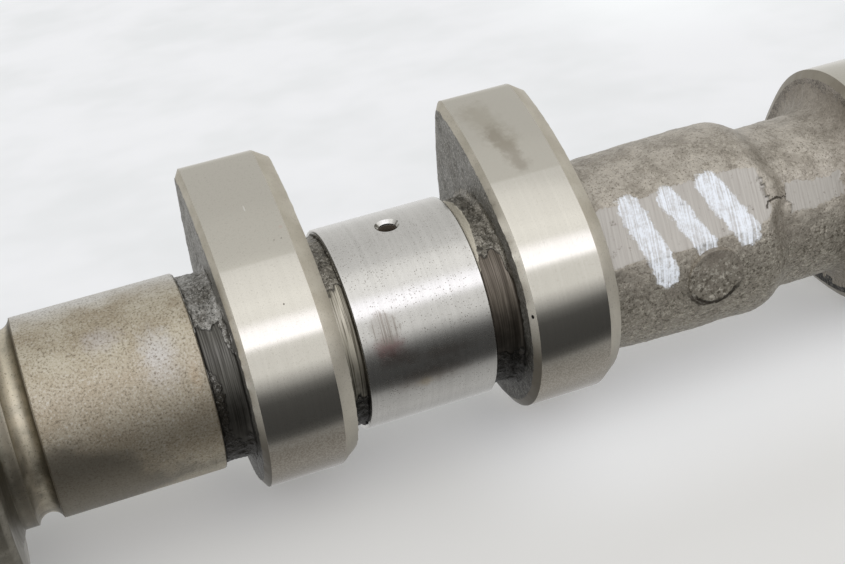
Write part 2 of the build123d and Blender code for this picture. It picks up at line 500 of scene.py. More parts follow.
@dataclass(frozen=True)
class Signal:
    """What a node puts out, which adds, subtracts, multiplies and divides like a number."""

    wires: Wiring
    socket: bpy.types.NodeSocket

    def __add__(self, other: Value) -> Signal:
        """The sum of both."""
        return self.math("ADD", other)

    def __sub__(self, other: Value) -> Signal:
        """This without the other."""
        return self.math("SUBTRACT", other)

    def __rsub__(self, other: Value) -> Signal:
        """The other without this."""
        return self.wires.math("SUBTRACT", other, self)

    def __mul__(self, other: Value) -> Signal:
        """The product of both."""
        return self.math("MULTIPLY", other)

    def __truediv__(self, other: Value) -> Signal:
        """This divided by the other."""
        return self.math("DIVIDE", other)

    def __rtruediv__(self, other: Value) -> Signal:
        """The other divided by this."""
        return self.wires.math("DIVIDE", other, self)

    def math(self, kind: str, *others: Value, clamp: bool = False) -> Signal:
        """A math node's result from this and the others, such as SQRT or MAXIMUM."""
        return self.wires.math(kind, self, *others, clamp=clamp)

    def span(self, low: float, high: float, start: Value = 0.0, end: Value = 1.0) -> Signal:
        """Smoothly carries this from low..high to start..end."""
        feeds = {0: self, 1: low, 2: high, 3: start, 4: end}
        return self.wires.out("MapRange", feeds, interpolation_type="SMOOTHSTEP")

    def blend(self, under: Value, over: Value) -> Signal:
        """Lays one colour over another, with this as the share of the upper one."""
        return self.wires.out("Mix", {0: self, 6: under, 7: over}, key=2, data_type="RGBA")


class Wiring:
    """A node tree being wired, for one material, one shared effect or the world."""

    def __init__(self, tree: bpy.types.NodeTree) -> None:
        """Takes the tree over and empties it."""
        self.tree = tree
        tree.nodes.clear()

    def node(
        self, kind: str, feeds: Optional[Mapping] = None, **settings: object
    ) -> bpy.types.Node:
        """Adds a node.

        Args:
            kind: the node's type name without its ShaderNode start.
            feeds: values or signals for its inputs, by name or number.
            settings: the node's own properties.

        Returns:
            The new node.
        """
        node = self.tree.nodes.new("ShaderNode" + kind)
        for key, value in settings.items():
            setattr(node, key, value)
        for key, value in (feeds or {}).items():
            self.feed(node.inputs[key], value)
        return node

    def feed(self, socket: bpy.types.NodeSocket, value: Value) -> None:
        """Links a signal to the input, or sets the input's own value.

        Args:
            socket: the input.
            value: a signal or a plain value.
        """
        if isinstance(value, Signal):
            self.tree.links.new(value.socket, socket)
        else:
            socket.default_value = value

    def out(
        self,
        kind: str,
        feeds: Optional[Mapping] = None,
        key: Union[int, str] = 0,
        **settings: object,
    ) -> Signal:
        """One output of a new node, chosen by its name or number."""
        return Signal(self, self.node(kind, feeds, **settings).outputs[key])

    def math(self, kind: str, *values: Value, clamp: bool = False) -> Signal:
        """A math node's result from the values in order."""
        return self.out("Math", dict(enumerate(values)), operation=kind, use_clamp=clamp)

    def pattern(
        self, place: Value, grain: float, detail: float = 3.0, rough: float = 0.55
    ) -> Signal:
        """Noise whose lumps are about a grain across, in millimetres."""
        feeds = {"Vector": place, "Scale": 1 / grain, "Detail": detail, "Roughness": rough}
        return self.out("TexNoise", feeds, key="Fac")

    def cells(self, place: Value, grain: float) -> tuple[Signal, Signal]:
        """Grains about that size: the distance from each one's middle, and its own tone.

        Args:
            place: where to read them.
            grain: how large they are, in the unit of the place.

        Returns:
            The distance and the tone.
        """
        node = self.node("TexVoronoi", {"Vector": place, "Scale": 1 / grain})
        away, colour = (Signal(self, node.outputs[name]) for name in ("Distance", "Color"))
        return away, self.out("SeparateColor", {0: colour})

    def ramp(self, share: Value, stops: Sequence[tuple[float, tuple]]) -> Signal:
        """A colour that changes from stop to stop.

        Args:
            share: where on the ramp to read, from 0 to 1.
            stops: each stop's place on the ramp and its colour.

        Returns:
            The colour.
        """
        node = self.node("ValToRGB", {0: share})
        held = node.color_ramp.elements
        while len(held) > 1:
            held.remove(held[-1])
        for index, (place, tone) in enumerate(stops):
            stop = held.new(place) if index else held[0]
            stop.position = place
            stop.color = tone
        return Signal(self, node.outputs[0])

    def place(self, scale: Sequence[float] = (1, 1, 1)) -> Signal:
        """The place on the piece in millimetres, stretched by a scale."""
        feeds = {"Vector": self.out("TexCoord", key="Object"), "Scale": Vector(scale) / MM}
        return self.out("Mapping", feeds)

    def split(self, place: Value) -> list[Signal]:
        """The x, y and z of a place."""
        return [Signal(self, socket) for socket in self.node("SeparateXYZ", {0: place}).outputs]

    def scaled(self, grain: Value) -> Signal:
        """The place on the piece, measured in grains of a size in millimetres."""
        return self.out("VectorMath", {0: self.place(), 3: 1.0 / grain}, operation="SCALE")

    def spot(self, place: Sequence[float], along: float, around: float, soft: float) -> Signal:
        """1 near a point on the piece, fading unevenly to 0 at its edge.

        Args:
            place: the point, in millimetres.
            along: half the spot's length along the shaft.
            around: half its length round the shaft.
            soft: share of the spot over which it fades.

        Returns:
            The mask.
        """
        stretch = (1 / along, 1 / around, 1 / around)
        centre = tuple(value * scale for value, scale in zip(place, stretch))
        feeds = {0: self.place(stretch), 1: centre}
        away = self.out("VectorMath", feeds, operation="DISTANCE", key="Value")
        uneven = self.pattern(self.place(), 0.9) - 0.5
        return (away + uneven * 0.9).span(1.0, 1.0 - soft)

    def stored(self, name: str) -> Signal:
        """A value that the piece's own vertices hold under a name."""
        return self.out("Attribute", attribute_name=name, key="Fac")

    def relief(self, height: Value, depth: float) -> Signal:
        """Normals of a bump whose full height is a depth in millimetres."""
        return self.out("Bump", {"Height": height, "Distance": depth * MM, "Strength": 1.0})


def rgb(red: float, green: float, blue: float) -> tuple[float, float, float, float]:
    """A colour written as 0 to 255 on screen, as the linear value that Blender wants.

    Args:
        red: how much red it has.
        green: how much green.
        blue: how much blue.

    Returns:
        The linear colour with its alpha.
    """

    def linear(level: float) -> float:
        """One channel's linear share."""
        share = level / 255
        return share / 12.92 if share <= 0.04045 else ((share + 0.055) / 1.055) ** 2.4

    return linear(red), linear(green), linear(blue), 1.0


class SharedEffect:
    """A shader node group with named inputs and outputs, built once."""

    title: ClassVar[str] = ""
    inputs: ClassVar[dict[str, float]] = {}
    outputs: ClassVar[tuple[str, ...]] = ()

    def tree(self) -> bpy.types.NodeTree:
        """The group's tree, made on first use.

        Returns:
            The tree, with its sockets and nodes.
        """
        found = bpy.data.node_groups.get(self.title)
        if found:
            return found
        group = bpy.data.node_groups.new(self.title, "ShaderNodeTree")
        for name, value in self.inputs.items():
            socket = group.interface.new_socket(name, in_out="INPUT", socket_type="NodeSocketFloat")
            socket.default_value = value
        for name in self.outputs:
            group.interface.new_socket(name, in_out="OUTPUT", socket_type="NodeSocketFloat")
        wires = Wiring(group)
        entry = group.nodes.new("NodeGroupInput")
        given = {name: Signal(wires, entry.outputs[name]) for name in self.inputs}
        leave = group.nodes.new("NodeGroupOutput")
        for name, value in self.wire(wires, given).items():
            wires.feed(leave.inputs[name], value)
        return group

    def wire(self, wires: Wiring, given: Mapping[str, Signal]) -> Feeds:
        """Wires the effect from its inputs and returns its outputs by name."""
        raise NotImplementedError

    def use(self, wires: Wiring, **given: Value) -> dict[str, Signal]:
        """Places the group in a material with its own values.

        Args:
            wires: the material's wiring.
            given: the effect's inputs by name.

        Returns:
            The outputs by name.
        """
        node = wires.tree.nodes.new("ShaderNodeGroup")
        node.node_tree = self.tree()
        for name, value in given.items():
            wires.feed(node.inputs[name], value)
        return {socket.name: Signal(wires, socket) for socket in node.outputs}


class ShaftSide(SharedEffect):
    """Where a place lies along the shaft and towards one side of it."""

    title = "shaft_side"
    inputs = {"Turn": 0.0}
    outputs = ("Along", "Out", "Across", "Radius", "Facing")

    def wire(self, wires: Wiring, given: Mapping[str, Signal]) -> Feeds:
        """Rotates the place about the shaft so that the side's direction is plain.

        Args:
            wires: the group's wiring.
            given: the side's turn.

        Returns:
            The place along the shaft, towards the side and across it, with its radius.
        """
        x, y, z = wires.split(wires.place())
        turn = given["Turn"].math("RADIANS")
        cosine, sine = turn.math("COSINE"), turn.math("SINE")
        out = y * cosine + z * sine
        across = z * cosine - y * sine
        radius = (out * out + across * across).math("SQRT")
        facing = out / radius.math("MAXIMUM", 0.1)
        return dict(zip(self.outputs, (x, out, across, radius, facing)))


class WheelLines(SharedEffect):
    """Fine lines round the shaft, as a grinding wheel or a lathe tool leaves."""

    title = "wheel_lines"
    inputs = {"Pitch": 0.12, "Sweep": 6.0}
    outputs = ("Lines", "Bands")

    def wire(self, wires: Wiring, given: Mapping[str, Signal]) -> Feeds:
        """Two stretched noises, one of single lines and one of broader bands.

        Args:
            wires: the group's wiring.
            given: the distance between lines and how far each runs round the shaft.

        Returns:
            The lines and the bands.
        """
        x, y, z = wires.split(wires.place())

        def stretched(coarse: float, seed: float) -> Signal:
            """Noise drawn out round the shaft.

            Args:
                coarse: how much wider its lines are.
                seed: how far the pattern is moved along.

            Returns:
                The noise.
            """
            along = x / (given["Pitch"] * coarse)
            reach = given["Sweep"] * coarse
            place = wires.out("CombineXYZ", {0: along + seed, 1: y / reach, 2: z / reach})
            return wires.pattern(place, 1.0, detail=2.0, rough=0.6)

        return {"Lines": stretched(1.0, 0.0), "Bands": stretched(5.0, 31.0)}


class Specks(SharedEffect):
    """Small dark corrosion specks, thicker in some patches than in others."""

    title = "specks"
    inputs = {"Size": 0.35, "Patches": 4.0, "Amount": 2.0}
    outputs = ("Mask",)

    def wire(self, wires: Wiring, given: Mapping[str, Signal]) -> Feeds:
        """A dot in the middle of some cells, and of more of them where a broad noise is high.

        Args:
            wires: the group's wiring.
            given: the size of a cell, that of a patch, and how much thicker a patch is.

        Returns:
            The mask of the dots.
        """
        away, tone = wires.cells(wires.scaled(given["Size"]), 1.0)
        patch = wires.pattern(wires.scaled(given["Patches"]), 1.0, detail=2.0, rough=0.5)
        kept = (tone + (patch - 0.5) * given["Amount"]).span(0.4, 0.75)
        return {"Mask": kept * away.span(0.36, 0.16)}


class SandGrain(SharedEffect):
    """The skin that a sand mould leaves: grains, pits and broad unevenness."""

    title = "sand_grain"
    inputs = {"Grain": 0.4}
    outputs = ("Height", "Pits", "Tone", "Shade")

    def wire(self, wires: Wiring, given: Mapping[str, Signal]) -> Feeds:
        """Round grains of two sizes, pits between them, and slow changes of shade.

        Args:
            wires: the group's wiring.
            given: the size of a grain.

        Returns:
            The grains' height, the mask of the pits, each grain's tone and the broad shade.
        """
        place = wires.scaled(given["Grain"])
        drift = wires.out("TexNoise", {"Vector": place, "Scale": 1.7, "Detail": 1.0}, key="Color")
        moved = wires.out("VectorMath", {0: drift, 3: 0.4}, operation="SCALE")
        moved = wires.out("VectorMath", {0: place, 1: moved}, operation="ADD")
        big, big_tone = wires.cells(moved, 1.0)
        small, small_tone = wires.cells(moved, 0.5)
        fine = wires.pattern(place, 0.6, rough=0.65)
        shade = wires.pattern(place, 9.0, rough=0.6)
        height = big * -0.5 + small * -0.3 + 0.7 + fine * 0.35
        tone = big_tone * 0.5 + small_tone * 0.5
        return dict(zip(self.outputs, (height, fine.span(0.43, 0.34), tone, shade)))


class StubEdgeShadow(SharedEffect):
    """A painted shadow round the gate's stub: a ragged dark line, strongest on its lower side."""

    title = "stub_edge_shadow"
    inputs = {"Radius": 3.5}
    outputs = ("Line",)

    def wire(self, wires: Wiring, given: Mapping[str, Signal]) -> Feeds:
        """A ring that wavers about its radius and thins out towards the top.

        Args:
            wires: the group's wiring.
            given: the ring's radius.

        Returns:
            The mask of the line.
        """
        side = ShaftSide().use(wires, Turn=PLAN.parting + PLAN.gate_turn)
        uneven = wires.pattern(wires.place(), 0.8, detail=4.0, rough=0.65) - 0.5
        from_x, across = side["Along"] - PLAN.gate_at, side["Across"]
        off = (from_x * from_x + across * across).math("SQRT") - given["Radius"]
        line = (off + uneven * 0.9).math("ABSOLUTE").span(0.34, 0.12)
        return {"Line": line * (across + uneven * 3.0).span(0.5, 2.6, 0.05, 0.9)}


# ---------------------------------------------------------------- finishes


@dataclass(frozen=True)
class Finish:
    """A surface finish, made into a material the first time it is asked for."""

    name: str

    def material(self) -> bpy.types.Material:
        """The finish's material.

        Returns:
            The material, with the name of the finish.
        """
        found = bpy.data.materials.get(self.name)
        if found:
            return found
        material = bpy.data.materials.new(self.name)
        material.use_nodes = True
        wires = Wiring(material.node_tree)
        shader = wires.out("BsdfPrincipled", self.surface(wires))
        wires.node("OutputMaterial", {"Surface": shader})
        return material

    def surface(self, wires: Wiring) -> Feeds:
        """Wires the finish and returns what feeds the Principled shader."""
        raise NotImplementedError


def feeds_of(colour: Value, metal: Value, rough: Value, normal: Value) -> Feeds:
    """What the Principled shader is fed, by the names of its inputs."""
    return {"Base Color": colour, "Metallic": metal, "Roughness": rough, "Normal": normal}


@dataclass(frozen=True)
class Mark:
    """A stain or knock on a ground surface."""

    x: float
    radius: float
    turn: float
    along: float
    around: float
    tone: tuple
    share: float
    soft: float = 0.6

    def mask(self, wires: Wiring) -> Signal:
        """1 inside the mark, fading to 0 at its edge."""
        place = (self.x, *polar(self.radius, self.turn))
        return wires.spot(place, self.along, self.around, self.soft)

    def lay(self, wires: Wiring, under: Value) -> Signal:
        """The colour with the mark laid over it."""
        return (self.mask(wires) * self.share).blend(under, self.tone)


@dataclass(frozen=True)
class Smear:
    """An oily smear that runs from one place on a ground surface to another."""

    start: tuple
    end: tuple
    half: float
    tone: tuple
    share: float

    def lay(self, wires: Wiring, under: Value) -> Signal:
        """The colour with the smear laid over it.

        Args:
            wires: the material's wiring.
            under: the colour without the smear.

        Returns:
            The new colour.
        """
        first = Vector((self.start[0], *polar(*self.start[1:])))
        run = Vector((self.end[0], *polar(*self.end[1:]))) - first
        off = wires.out("VectorMath", {0: wires.place(), 1: first}, operation="SUBTRACT")
        dot = wires.out("VectorMath", {0: off, 1: run}, operation="DOT_PRODUCT", key="Value")
        share = dot.math("DIVIDE", run.length_squared, clamp=True)
        along = wires.out("VectorMath", {0: run, 3: share}, operation="SCALE")
        away = wires.out("VectorMath", {0: off, 1: along}, operation="DISTANCE", key="Value")
        uneven = wires.pattern(wires.place(), 1.3, detail=6.0, rough=0.72) - 0.5
        mask = (away / self.half + uneven * 2.2).span(1.25, 0.1, 0.0, self.share)
        return mask.blend(under, self.tone)


def lay_all(wires: Wiring, colour: Value, marks: Iterable[Union[Mark, Smear]]) -> Value:
    """The colour with every mark laid over it in order.

    Args:
        wires: the material's wiring.
        colour: the colour without the marks.
        marks: what is laid over it.

    Returns:
        The new colour.
    """
    for mark in marks:
        colour = mark.lay(wires, colour)
    return colour


@dataclass(frozen=True)
class GroundIron(Finish):
    """Iron ground bright, with faint wheel lines, stain and a few corrosion specks, with painted shade
    on its upper side and on its underside.
    """

    name: str = "ground_iron"
    bright: tuple = rgb(211, 207, 197)
    grey: tuple = rgb(207, 203, 193)
    # the upper tone is painted shade, laid over the upper side of the band
    upper: tuple = rgb(197, 193, 182)
    upper_shade_turn: float = 112.0
    upper_shade_share: float = 1.0
    # the film tones are painted shade over the underside, mottled like an oil film; the film tone also
    # tints random grain blotches
    film: tuple = rgb(166, 160, 149)
    underside_shade_dark: tuple = rgb(143, 135, 123)
    underside_shade_share: float = 1.0
    speck: tuple = rgb(112, 104, 94)
    speck_share: float = 0.0
    speck_turn: float = 125.0
    rough: float = 0.125
    # the bore tone is painted shade inside the feed hole
    bore_shade: tuple = rgb(96, 86, 74)
    bore_radius: float = 0.0
    marks: tuple = ()
    scratches: Optional[Mark] = None

    def surface(self, wires: Wiring) -> Feeds:
        """Metal with stretched lines in its colour, roughness and relief.

        Args:
            wires: the material's wiring.

        Returns:
            What feeds the Principled shader.
        """
        lines = WheelLines().use(wires, Pitch=0.07, Sweep=5.0)
        grain = wires.pattern(wires.place(), 0.2, rough=0.65)
        colour = lines["Bands"].span(0.25, 0.75).blend(self.grey, self.bright)
        # painted shade on the upper side
        upper = ShaftSide().use(wires, Turn=self.upper_shade_turn)
        above = upper["Across"].span(0.25, -0.25, 0.0, self.upper_shade_share)
        colour = above.blend(colour, self.upper)
        colour = grain.span(0.46, 0.3, 0.0, 0.3).blend(colour, self.film)
        # painted shade over the underside, mottled with the grain
        under = ShaftSide().use(wires, Turn=235.0)
        film = under["Facing"].span(0.66, 0.84, 0.0, self.underside_shade_share)
        stained = grain.span(0.4, 0.6).blend(self.underside_shade_dark, self.film)
        colour = film.blend(colour, stained)
        fine = lines["Lines"] * 0.5 + grain * 0.5
        rough = fine.span(0.25, 0.75, self.rough - 0.01, self.rough + 0.012)
        rough = rough + film * 0.06
        if self.speck_share:
            specks = Specks().use(wires, Size=0.25, Patches=3.0, Amount=2.2)
            side = ShaftSide().use(wires, Turn=self.speck_turn)
            zone = side["Facing"].span(0.35, 0.95, 0.3, 1.0)
            dots = specks["Mask"] * zone * self.speck_share
            colour = dots.blend(colour, self.speck)
            rough = rough + dots * 0.3
        colour = lay_all(wires, colour, self.marks)
        height = fine
        if self.scratches is not None:
            colour, rough, height = self._scratch(wires, colour, rough, height)
        metal: Value = 1.0
        if self.bore_radius:
            # painted shade inside the feed hole
            inside = under["Radius"].span(self.bore_radius, self.bore_radius - 0.2)
            colour = inside.blend(colour, self.bore_shade)
            metal = 1.0 - inside * 0.85
            rough = rough + inside * 0.4
        return feeds_of(colour, metal, rough, wires.relief(height, 0.0004))

    def _scratch(
        self, wires: Wiring, colour: Value, rough: Value, height: Value
    ) -> tuple[Value, Value, Value]:
        """Scores a patch with short lines round the shaft.

        Args:
            wires: the material's wiring.
            colour: the colour so far.
            rough: the roughness so far.
            height: the relief so far.

        Returns:
            The new colour, roughness and relief.
        """
        lines = WheelLines().use(wires, Pitch=0.2, Sweep=16.0)["Lines"]
        patch = self.scratches.mask(wires)
        colour = (patch * 0.35).blend(colour, self.scratches.tone)
        deep = patch * lines.span(0.52, 0.42)
        colour = (deep * self.scratches.share).blend(colour, self.scratches.tone)
        return colour, rough + deep * 0.16, height - deep * 1.5


@dataclass(frozen=True)
class VarnishedIron(Finish):
    """A journal browned by baked oil, with fine dark specks and faint heat tints."""

    name: str = "varnished_journal"
    tan: tuple = rgb(192, 184, 165)
    brown: tuple = rgb(171, 160, 139)
    pale: tuple = rgb(214, 213, 210)
    speck: tuple = rgb(104, 93, 77)
    film: tuple = rgb(150, 140, 123)
    low: tuple = rgb(108, 103, 92)
    marks: tuple = ()

    def surface(self, wires: Wiring) -> Feeds:
        """Mottled tan over metal, greyer at the back and darker towards the front and bottom.

        Args:
            wires: the material's wiring.

        Returns:
            What feeds the Principled shader.
        """
        lines = WheelLines().use(wires, Pitch=0.16, Sweep=7.0)
        broad = wires.pattern(wires.place((0.8, 1, 1)), 4.0, detail=5.0, rough=0.6)
        fine = wires.pattern(wires.place(), 0.25, rough=0.7)
        uneven = broad - 0.5
        colour = broad.span(0.35, 0.62).blend(self.brown, self.tan)
        back = ShaftSide().use(wires, Turn=45.0)
        top = back["Facing"] + uneven * 0.5
        colour = top.span(0.5, 1.0, 0.0, 0.85).blend(colour, self.pale)
        colour = lay_all(wires, colour, self.marks)
        middle = ShaftSide().use(wires, Turn=170.0)
        film = middle["Facing"] + uneven * 0.5
        colour = film.span(0.72, 1.0, 0.0, 0.55).blend(colour, self.film)
        front = ShaftSide().use(wires, Turn=214.0)
        nearness = front["Along"].span(PLAN.drive_start, PLAN.drive_start + 17, 0.06, -0.22)
        edge = front["Facing"] + uneven * 0.35 + nearness
        colour = fine.span(0.52, 0.7, 0.0, 0.36).blend(colour, self.pale)
        colour = fine.span(0.5, 0.33, 0.0, 0.6).blend(colour, self.speck)
        colour = edge.span(0.74, 0.88, 0.0, 0.8).blend(colour, self.low)
        colour = fine.span(0.46, 0.3, 0.0, 0.3).blend(colour, self.speck)
        specks = Specks().use(wires, Size=0.34, Patches=3.2, Amount=2.4)
        dots = specks["Mask"] * 0.3
        colour = dots.blend(colour, self.speck)
        rough = lines["Lines"].span(0.2, 0.8, 0.44, 0.52)
        rough = rough + dots * 0.2
        height = fine - dots * 0.5
        return feeds_of(colour, 0.9, rough, wires.relief(height, 0.012))


@dataclass(frozen=True)
class TurnedEnd(Finish):
    """The sprocket end: lathe lines, with a tint that changes from step to step, painted shadow in the
    groove beside the journal and painted shade on the lower front.
    """

    name: str = "turned_end"
    streak: tuple = rgb(110, 104, 88)
    stain: tuple = rgb(126, 124, 112)
    speck: tuple = rgb(86, 80, 66)
    # this dark tone is painted shade on the lower front
    lower_front_shade: tuple = rgb(92, 86, 74)
    # tints by station; the dark last step, on the groove's wall beside the journal, is partly oil and
    # partly painted shadow
    steps: tuple = (
        (-3.0, rgb(176, 172, 160)), (9.3, rgb(160, 156, 145)),
        (9.7, rgb(84, 79, 66)), (10.3, rgb(96, 90, 76)),
        (10.7, rgb(148, 142, 128)), (11.2, rgb(140, 133, 119)),
        (11.6, rgb(134, 127, 113)), (12.1, rgb(176, 168, 151)),
        (12.6, rgb(184, 173, 152)), (13.3, rgb(210, 201, 180)),
        (14.0, rgb(214, 204, 182)), (14.55, rgb(116, 107, 91)),
    )

    def surface(self, wires: Wiring) -> Feeds:
        """Colour by station, streaked round the shaft, stained in patches and darker on the lower front
        by painted shade.

        Args:
            wires: the material's wiring.

        Returns:
            What feeds the Principled shader.
        """
        side = ShaftSide().use(wires, Turn=210.0)
        lines = WheelLines().use(wires, Pitch=0.14, Sweep=8.0)
        broad = wires.pattern(wires.place(), 1.6, detail=4.0)
        fine = wires.pattern(wires.place(), 0.2, detail=2.0)
        station = side["Along"] + (broad - 0.5) * 0.5
        first, last = self.steps[0][0], self.steps[-1][0]
        stops = [((x - first) / (last - first), tone) for x, tone in self.steps]
        colour = wires.ramp((station - first) / (last - first), stops)
        colour = lines["Bands"].span(0.3, 0.7, 0.0, 0.3).blend(colour, self.streak)
        colour = broad.span(0.42, 0.62, 0.0, 0.35).blend(colour, self.stain)
        colour = fine.span(0.45, 0.28, 0.0, 0.55).blend(colour, self.speck)
        # painted shade on the lower front
        lower_front_shade = (side["Facing"] + (broad - 0.5)).span(0.6, 1.1, 0.0, 0.5)
        colour = lower_front_shade.blend(colour, self.lower_front_shade)
        rough = lines["Lines"].span(0.2, 0.8, 0.38, 0.5)
        return feeds_of(colour, 0.9, rough, wires.relief(lines["Lines"] + fine, 0.006))


@dataclass(frozen=True)
class CastIron(Finish):
    """Iron skin as it left the sand mould, darker and coarser underneath."""

    name: str = "cast_skin"
    pale: tuple = rgb(188, 182, 170)
    dull: tuple = rgb(164, 157, 145)
    low: tuple = rgb(138, 132, 120)
    pit: tuple = rgb(84, 76, 63)
    grit: tuple = rgb(226, 220, 206)
    grain: float = 0.34
    pit_share: float = 0.55
    contrast: float = 0.22
    low_contrast: float = 0.7
    low_turn: float = 228.0
    low_start: float = 0.40
    metallic: float = 0.6
    rough: float = 0.46
    bump: float = 0.06

    def skin(self, wires: Wiring) -> tuple[Signal, Signal]:
        """Wires the skin on its own.

        Args:
            wires: the material's wiring.

        Returns:
            The skin's colour and its relief.
        """
        sand = SandGrain().use(wires, Grain=self.grain)
        side = ShaftSide().use(wires, Turn=self.low_turn)
        uneven = (sand["Shade"] - 0.5) * 0.9
        low = (side["Facing"] + uneven).span(self.low_start, self.low_start + 0.45)
        colour = sand["Shade"].span(0.35, 0.65).blend(self.dull, self.pale)
        # the low tone darkens the lower side; on the cheeks and the necks it is painted shade
        colour = low.blend(colour, self.low)
        contrast = low.span(0.0, 1.0, self.contrast, self.low_contrast)
        light = sand["Tone"].span(0.6, 0.9) * contrast
        dark = sand["Tone"].span(0.42, 0.12) * contrast
        colour = light.blend(colour, self.grit)
        colour = dark.blend(colour, self.pit)
        colour = (sand["Pits"] * self.pit_share).blend(colour, self.pit)
        relief = sand["Height"] * low.span(0.0, 1.0, 0.55, 1.3)
        return colour, relief

    def surface(self, wires: Wiring) -> Feeds:
        """Grainy grey-brown with dark pits.

        Args:
            wires: the material's wiring.

        Returns:
            What feeds the Principled shader.
        """
        colour, height = self.skin(wires)
        return feeds_of(colour, self.metallic, self.rough, wires.relief(height, self.bump))


@dataclass(frozen=True)
class CheekSkin(CastIron):
    """Cast skin on the sides of the lobes, darker and coarser, with painted shade on their lower side.
    """

    name: str = "cheek_skin"
    pale: tuple = rgb(132, 130, 124)
    dull: tuple = rgb(106, 103, 96)
    # the low tone is painted shade on the lower side of the cheeks
    low: tuple = rgb(54, 52, 46)
    pit: tuple = rgb(38, 35, 30)
    grit: tuple = rgb(186, 184, 176)
    grain: float = 0.24
    contrast: float = 0.6
    low_contrast: float = 0.32
    low_turn: float = 262.0
    low_start: float = 0.05


@dataclass(frozen=True)
class NeckSkin(CastIron):
    """A neck that is cast skin in part and skimmed by the lathe in part."""

    name: str = "neck_skin"
    pale: tuple = rgb(134, 129, 118)
    dull: tuple = rgb(98, 94, 85)
    low: tuple = rgb(58, 55, 48)
    pit: tuple = rgb(30, 28, 24)
    grit: tuple = rgb(184, 180, 170)
    grain: float = 0.22
    contrast: float = 0.7
    pit_share: float = 0.9
    turned: tuple = rgb(196, 190, 174)
    turned_dull: tuple = rgb(96, 91, 79)
    shoulder: tuple = rgb(192, 186, 170)
    # painted shade: this dark tone is laid over the lower side of the neck, as is the low tone above
    painted_shade: tuple = rgb(29, 27, 23)
    painted_shade_turn: float = 232.0
    painted_shade_start: float = 0.5

    def surface(self, wires: Wiring) -> Feeds:
        """Cast skin, with lathe lines where the piece says that it is turned, and painted shade over
        its lower side.

        Args:
            wires: the material's wiring.

        Returns:
            What feeds the Principled shader.
        """
        cast, height = self.skin(wires)
        lines = WheelLines().use(wires, Pitch=0.13, Sweep=7.0)
        share = wires.stored("turned").span(0.35, 0.65)
        fine = lines["Lines"].span(0.36, 0.62)
        streaks = fine.blend(self.turned_dull, self.turned)
        streaks = lines["Bands"].span(0.55, 0.35, 0.0, 0.5).blend(streaks, self.turned_dull)
        edge = wires.stored("turned").span(0.05, 0.4) * wires.stored("turned").span(0.95, 0.5)
        colour = share.blend(cast, streaks)
        colour = (edge * 0.7).blend(colour, self.pit)
        colour = wires.stored("shoulder").span(0.4, 0.6).blend(colour, self.shoulder)
        # painted shade over the lower side
        side = ShaftSide().use(wires, Turn=self.painted_shade_turn)
        uneven = wires.pattern(wires.place(), 1.2)
        low = side["Facing"] + (uneven - 0.5) * 0.4
        colour = low.span(self.painted_shade_start, 1.0, 0.0, 0.9).blend(colour, self.painted_shade)
        relief = height * (1.0 - share) + lines["Lines"] * share * 0.22
        rough = share.span(0.0, 1.0, 0.42, 0.38)
        return feeds_of(colour, 0.85, rough, wires.relief(relief, self.bump))


@dataclass(frozen=True)
class BevelledEdge(Finish):
    """The lobes' matt bevels."""

    name: str = "lobe_bevel"
    base: tuple = rgb(194, 188, 173)
    shade: tuple = rgb(180, 173, 157)
    # the low tone is painted shade underneath
    low: tuple = rgb(112, 106, 93)
    low_turn: float = 250.0
    under_shade_share: float = 0.45
    # this pale tone is a painted highlight on the front of the bevel
    worn: tuple = rgb(228, 223, 210)
    highlight_turn: float = 186.0
    highlight_share: float = 0.35
    marks: tuple = ()

    def surface(self, wires: Wiring) -> Feeds:
        """Even warm grey with a fine grain, with a painted highlight at the front and painted shade
        underneath.

        Args:
            wires: the material's wiring.

        Returns:
            What feeds the Principled shader.
        """
        grain = wires.pattern(wires.place(), 0.16)
        broad = wires.pattern(wires.place(), 3.0)
        under = ShaftSide().use(wires, Turn=self.low_turn)
        front = ShaftSide().use(wires, Turn=self.highlight_turn)
        colour = broad.span(0.3, 0.7).blend(self.shade, self.base)
        # painted highlight at the front
        colour = front["Facing"].span(0.75, 1.0, 0.0, self.highlight_share).blend(colour, self.worn)
        colour = grain.span(0.45, 0.3, 0.0, 0.35).blend(colour, self.low)
        # painted shade underneath
        colour = under["Facing"].span(0.4, 0.85, 0.0, self.under_shade_share).blend(colour, self.low)
        colour = lay_all(wires, colour, self.marks)
        return feeds_of(colour, 0.8, 0.42, wires.relief(grain, 0.005))


@dataclass(frozen=True)
class Stroke:
    """A straight stroke on the barrel's flat, from end to end, in millimetres."""

    x0: float
    across0: float
    x1: float
    across1: float
    half: float

    def mask(self, wires: Wiring, side: Mapping, uneven: Value, soft: float) -> Signal:
        """Wires the stroke's mask.

        Args:
            wires: the material's wiring; not used.
            side: the outputs of ShaftSide for the flat.
            uneven: what is added to the distance from the stroke's line.
            soft: half the width over which the edge fades.

        Returns:
            1 within the stroke's half width of its line, fading to 0 at its edge.
        """
        run, rise = self.x1 - self.x0, self.across1 - self.across0
        from_x = side["Along"] - self.x0
        from_across = side["Across"] - self.across0
        dot = from_x * run + from_across * rise
        share = dot.math("DIVIDE", run**2 + rise**2, clamp=True)
        off_x = from_x - share * run
        off_across = from_across - share * rise
        away = (off_x * off_x + off_across * off_across).math("SQRT")
        return (away + uneven).span(self.half + soft, self.half - soft)


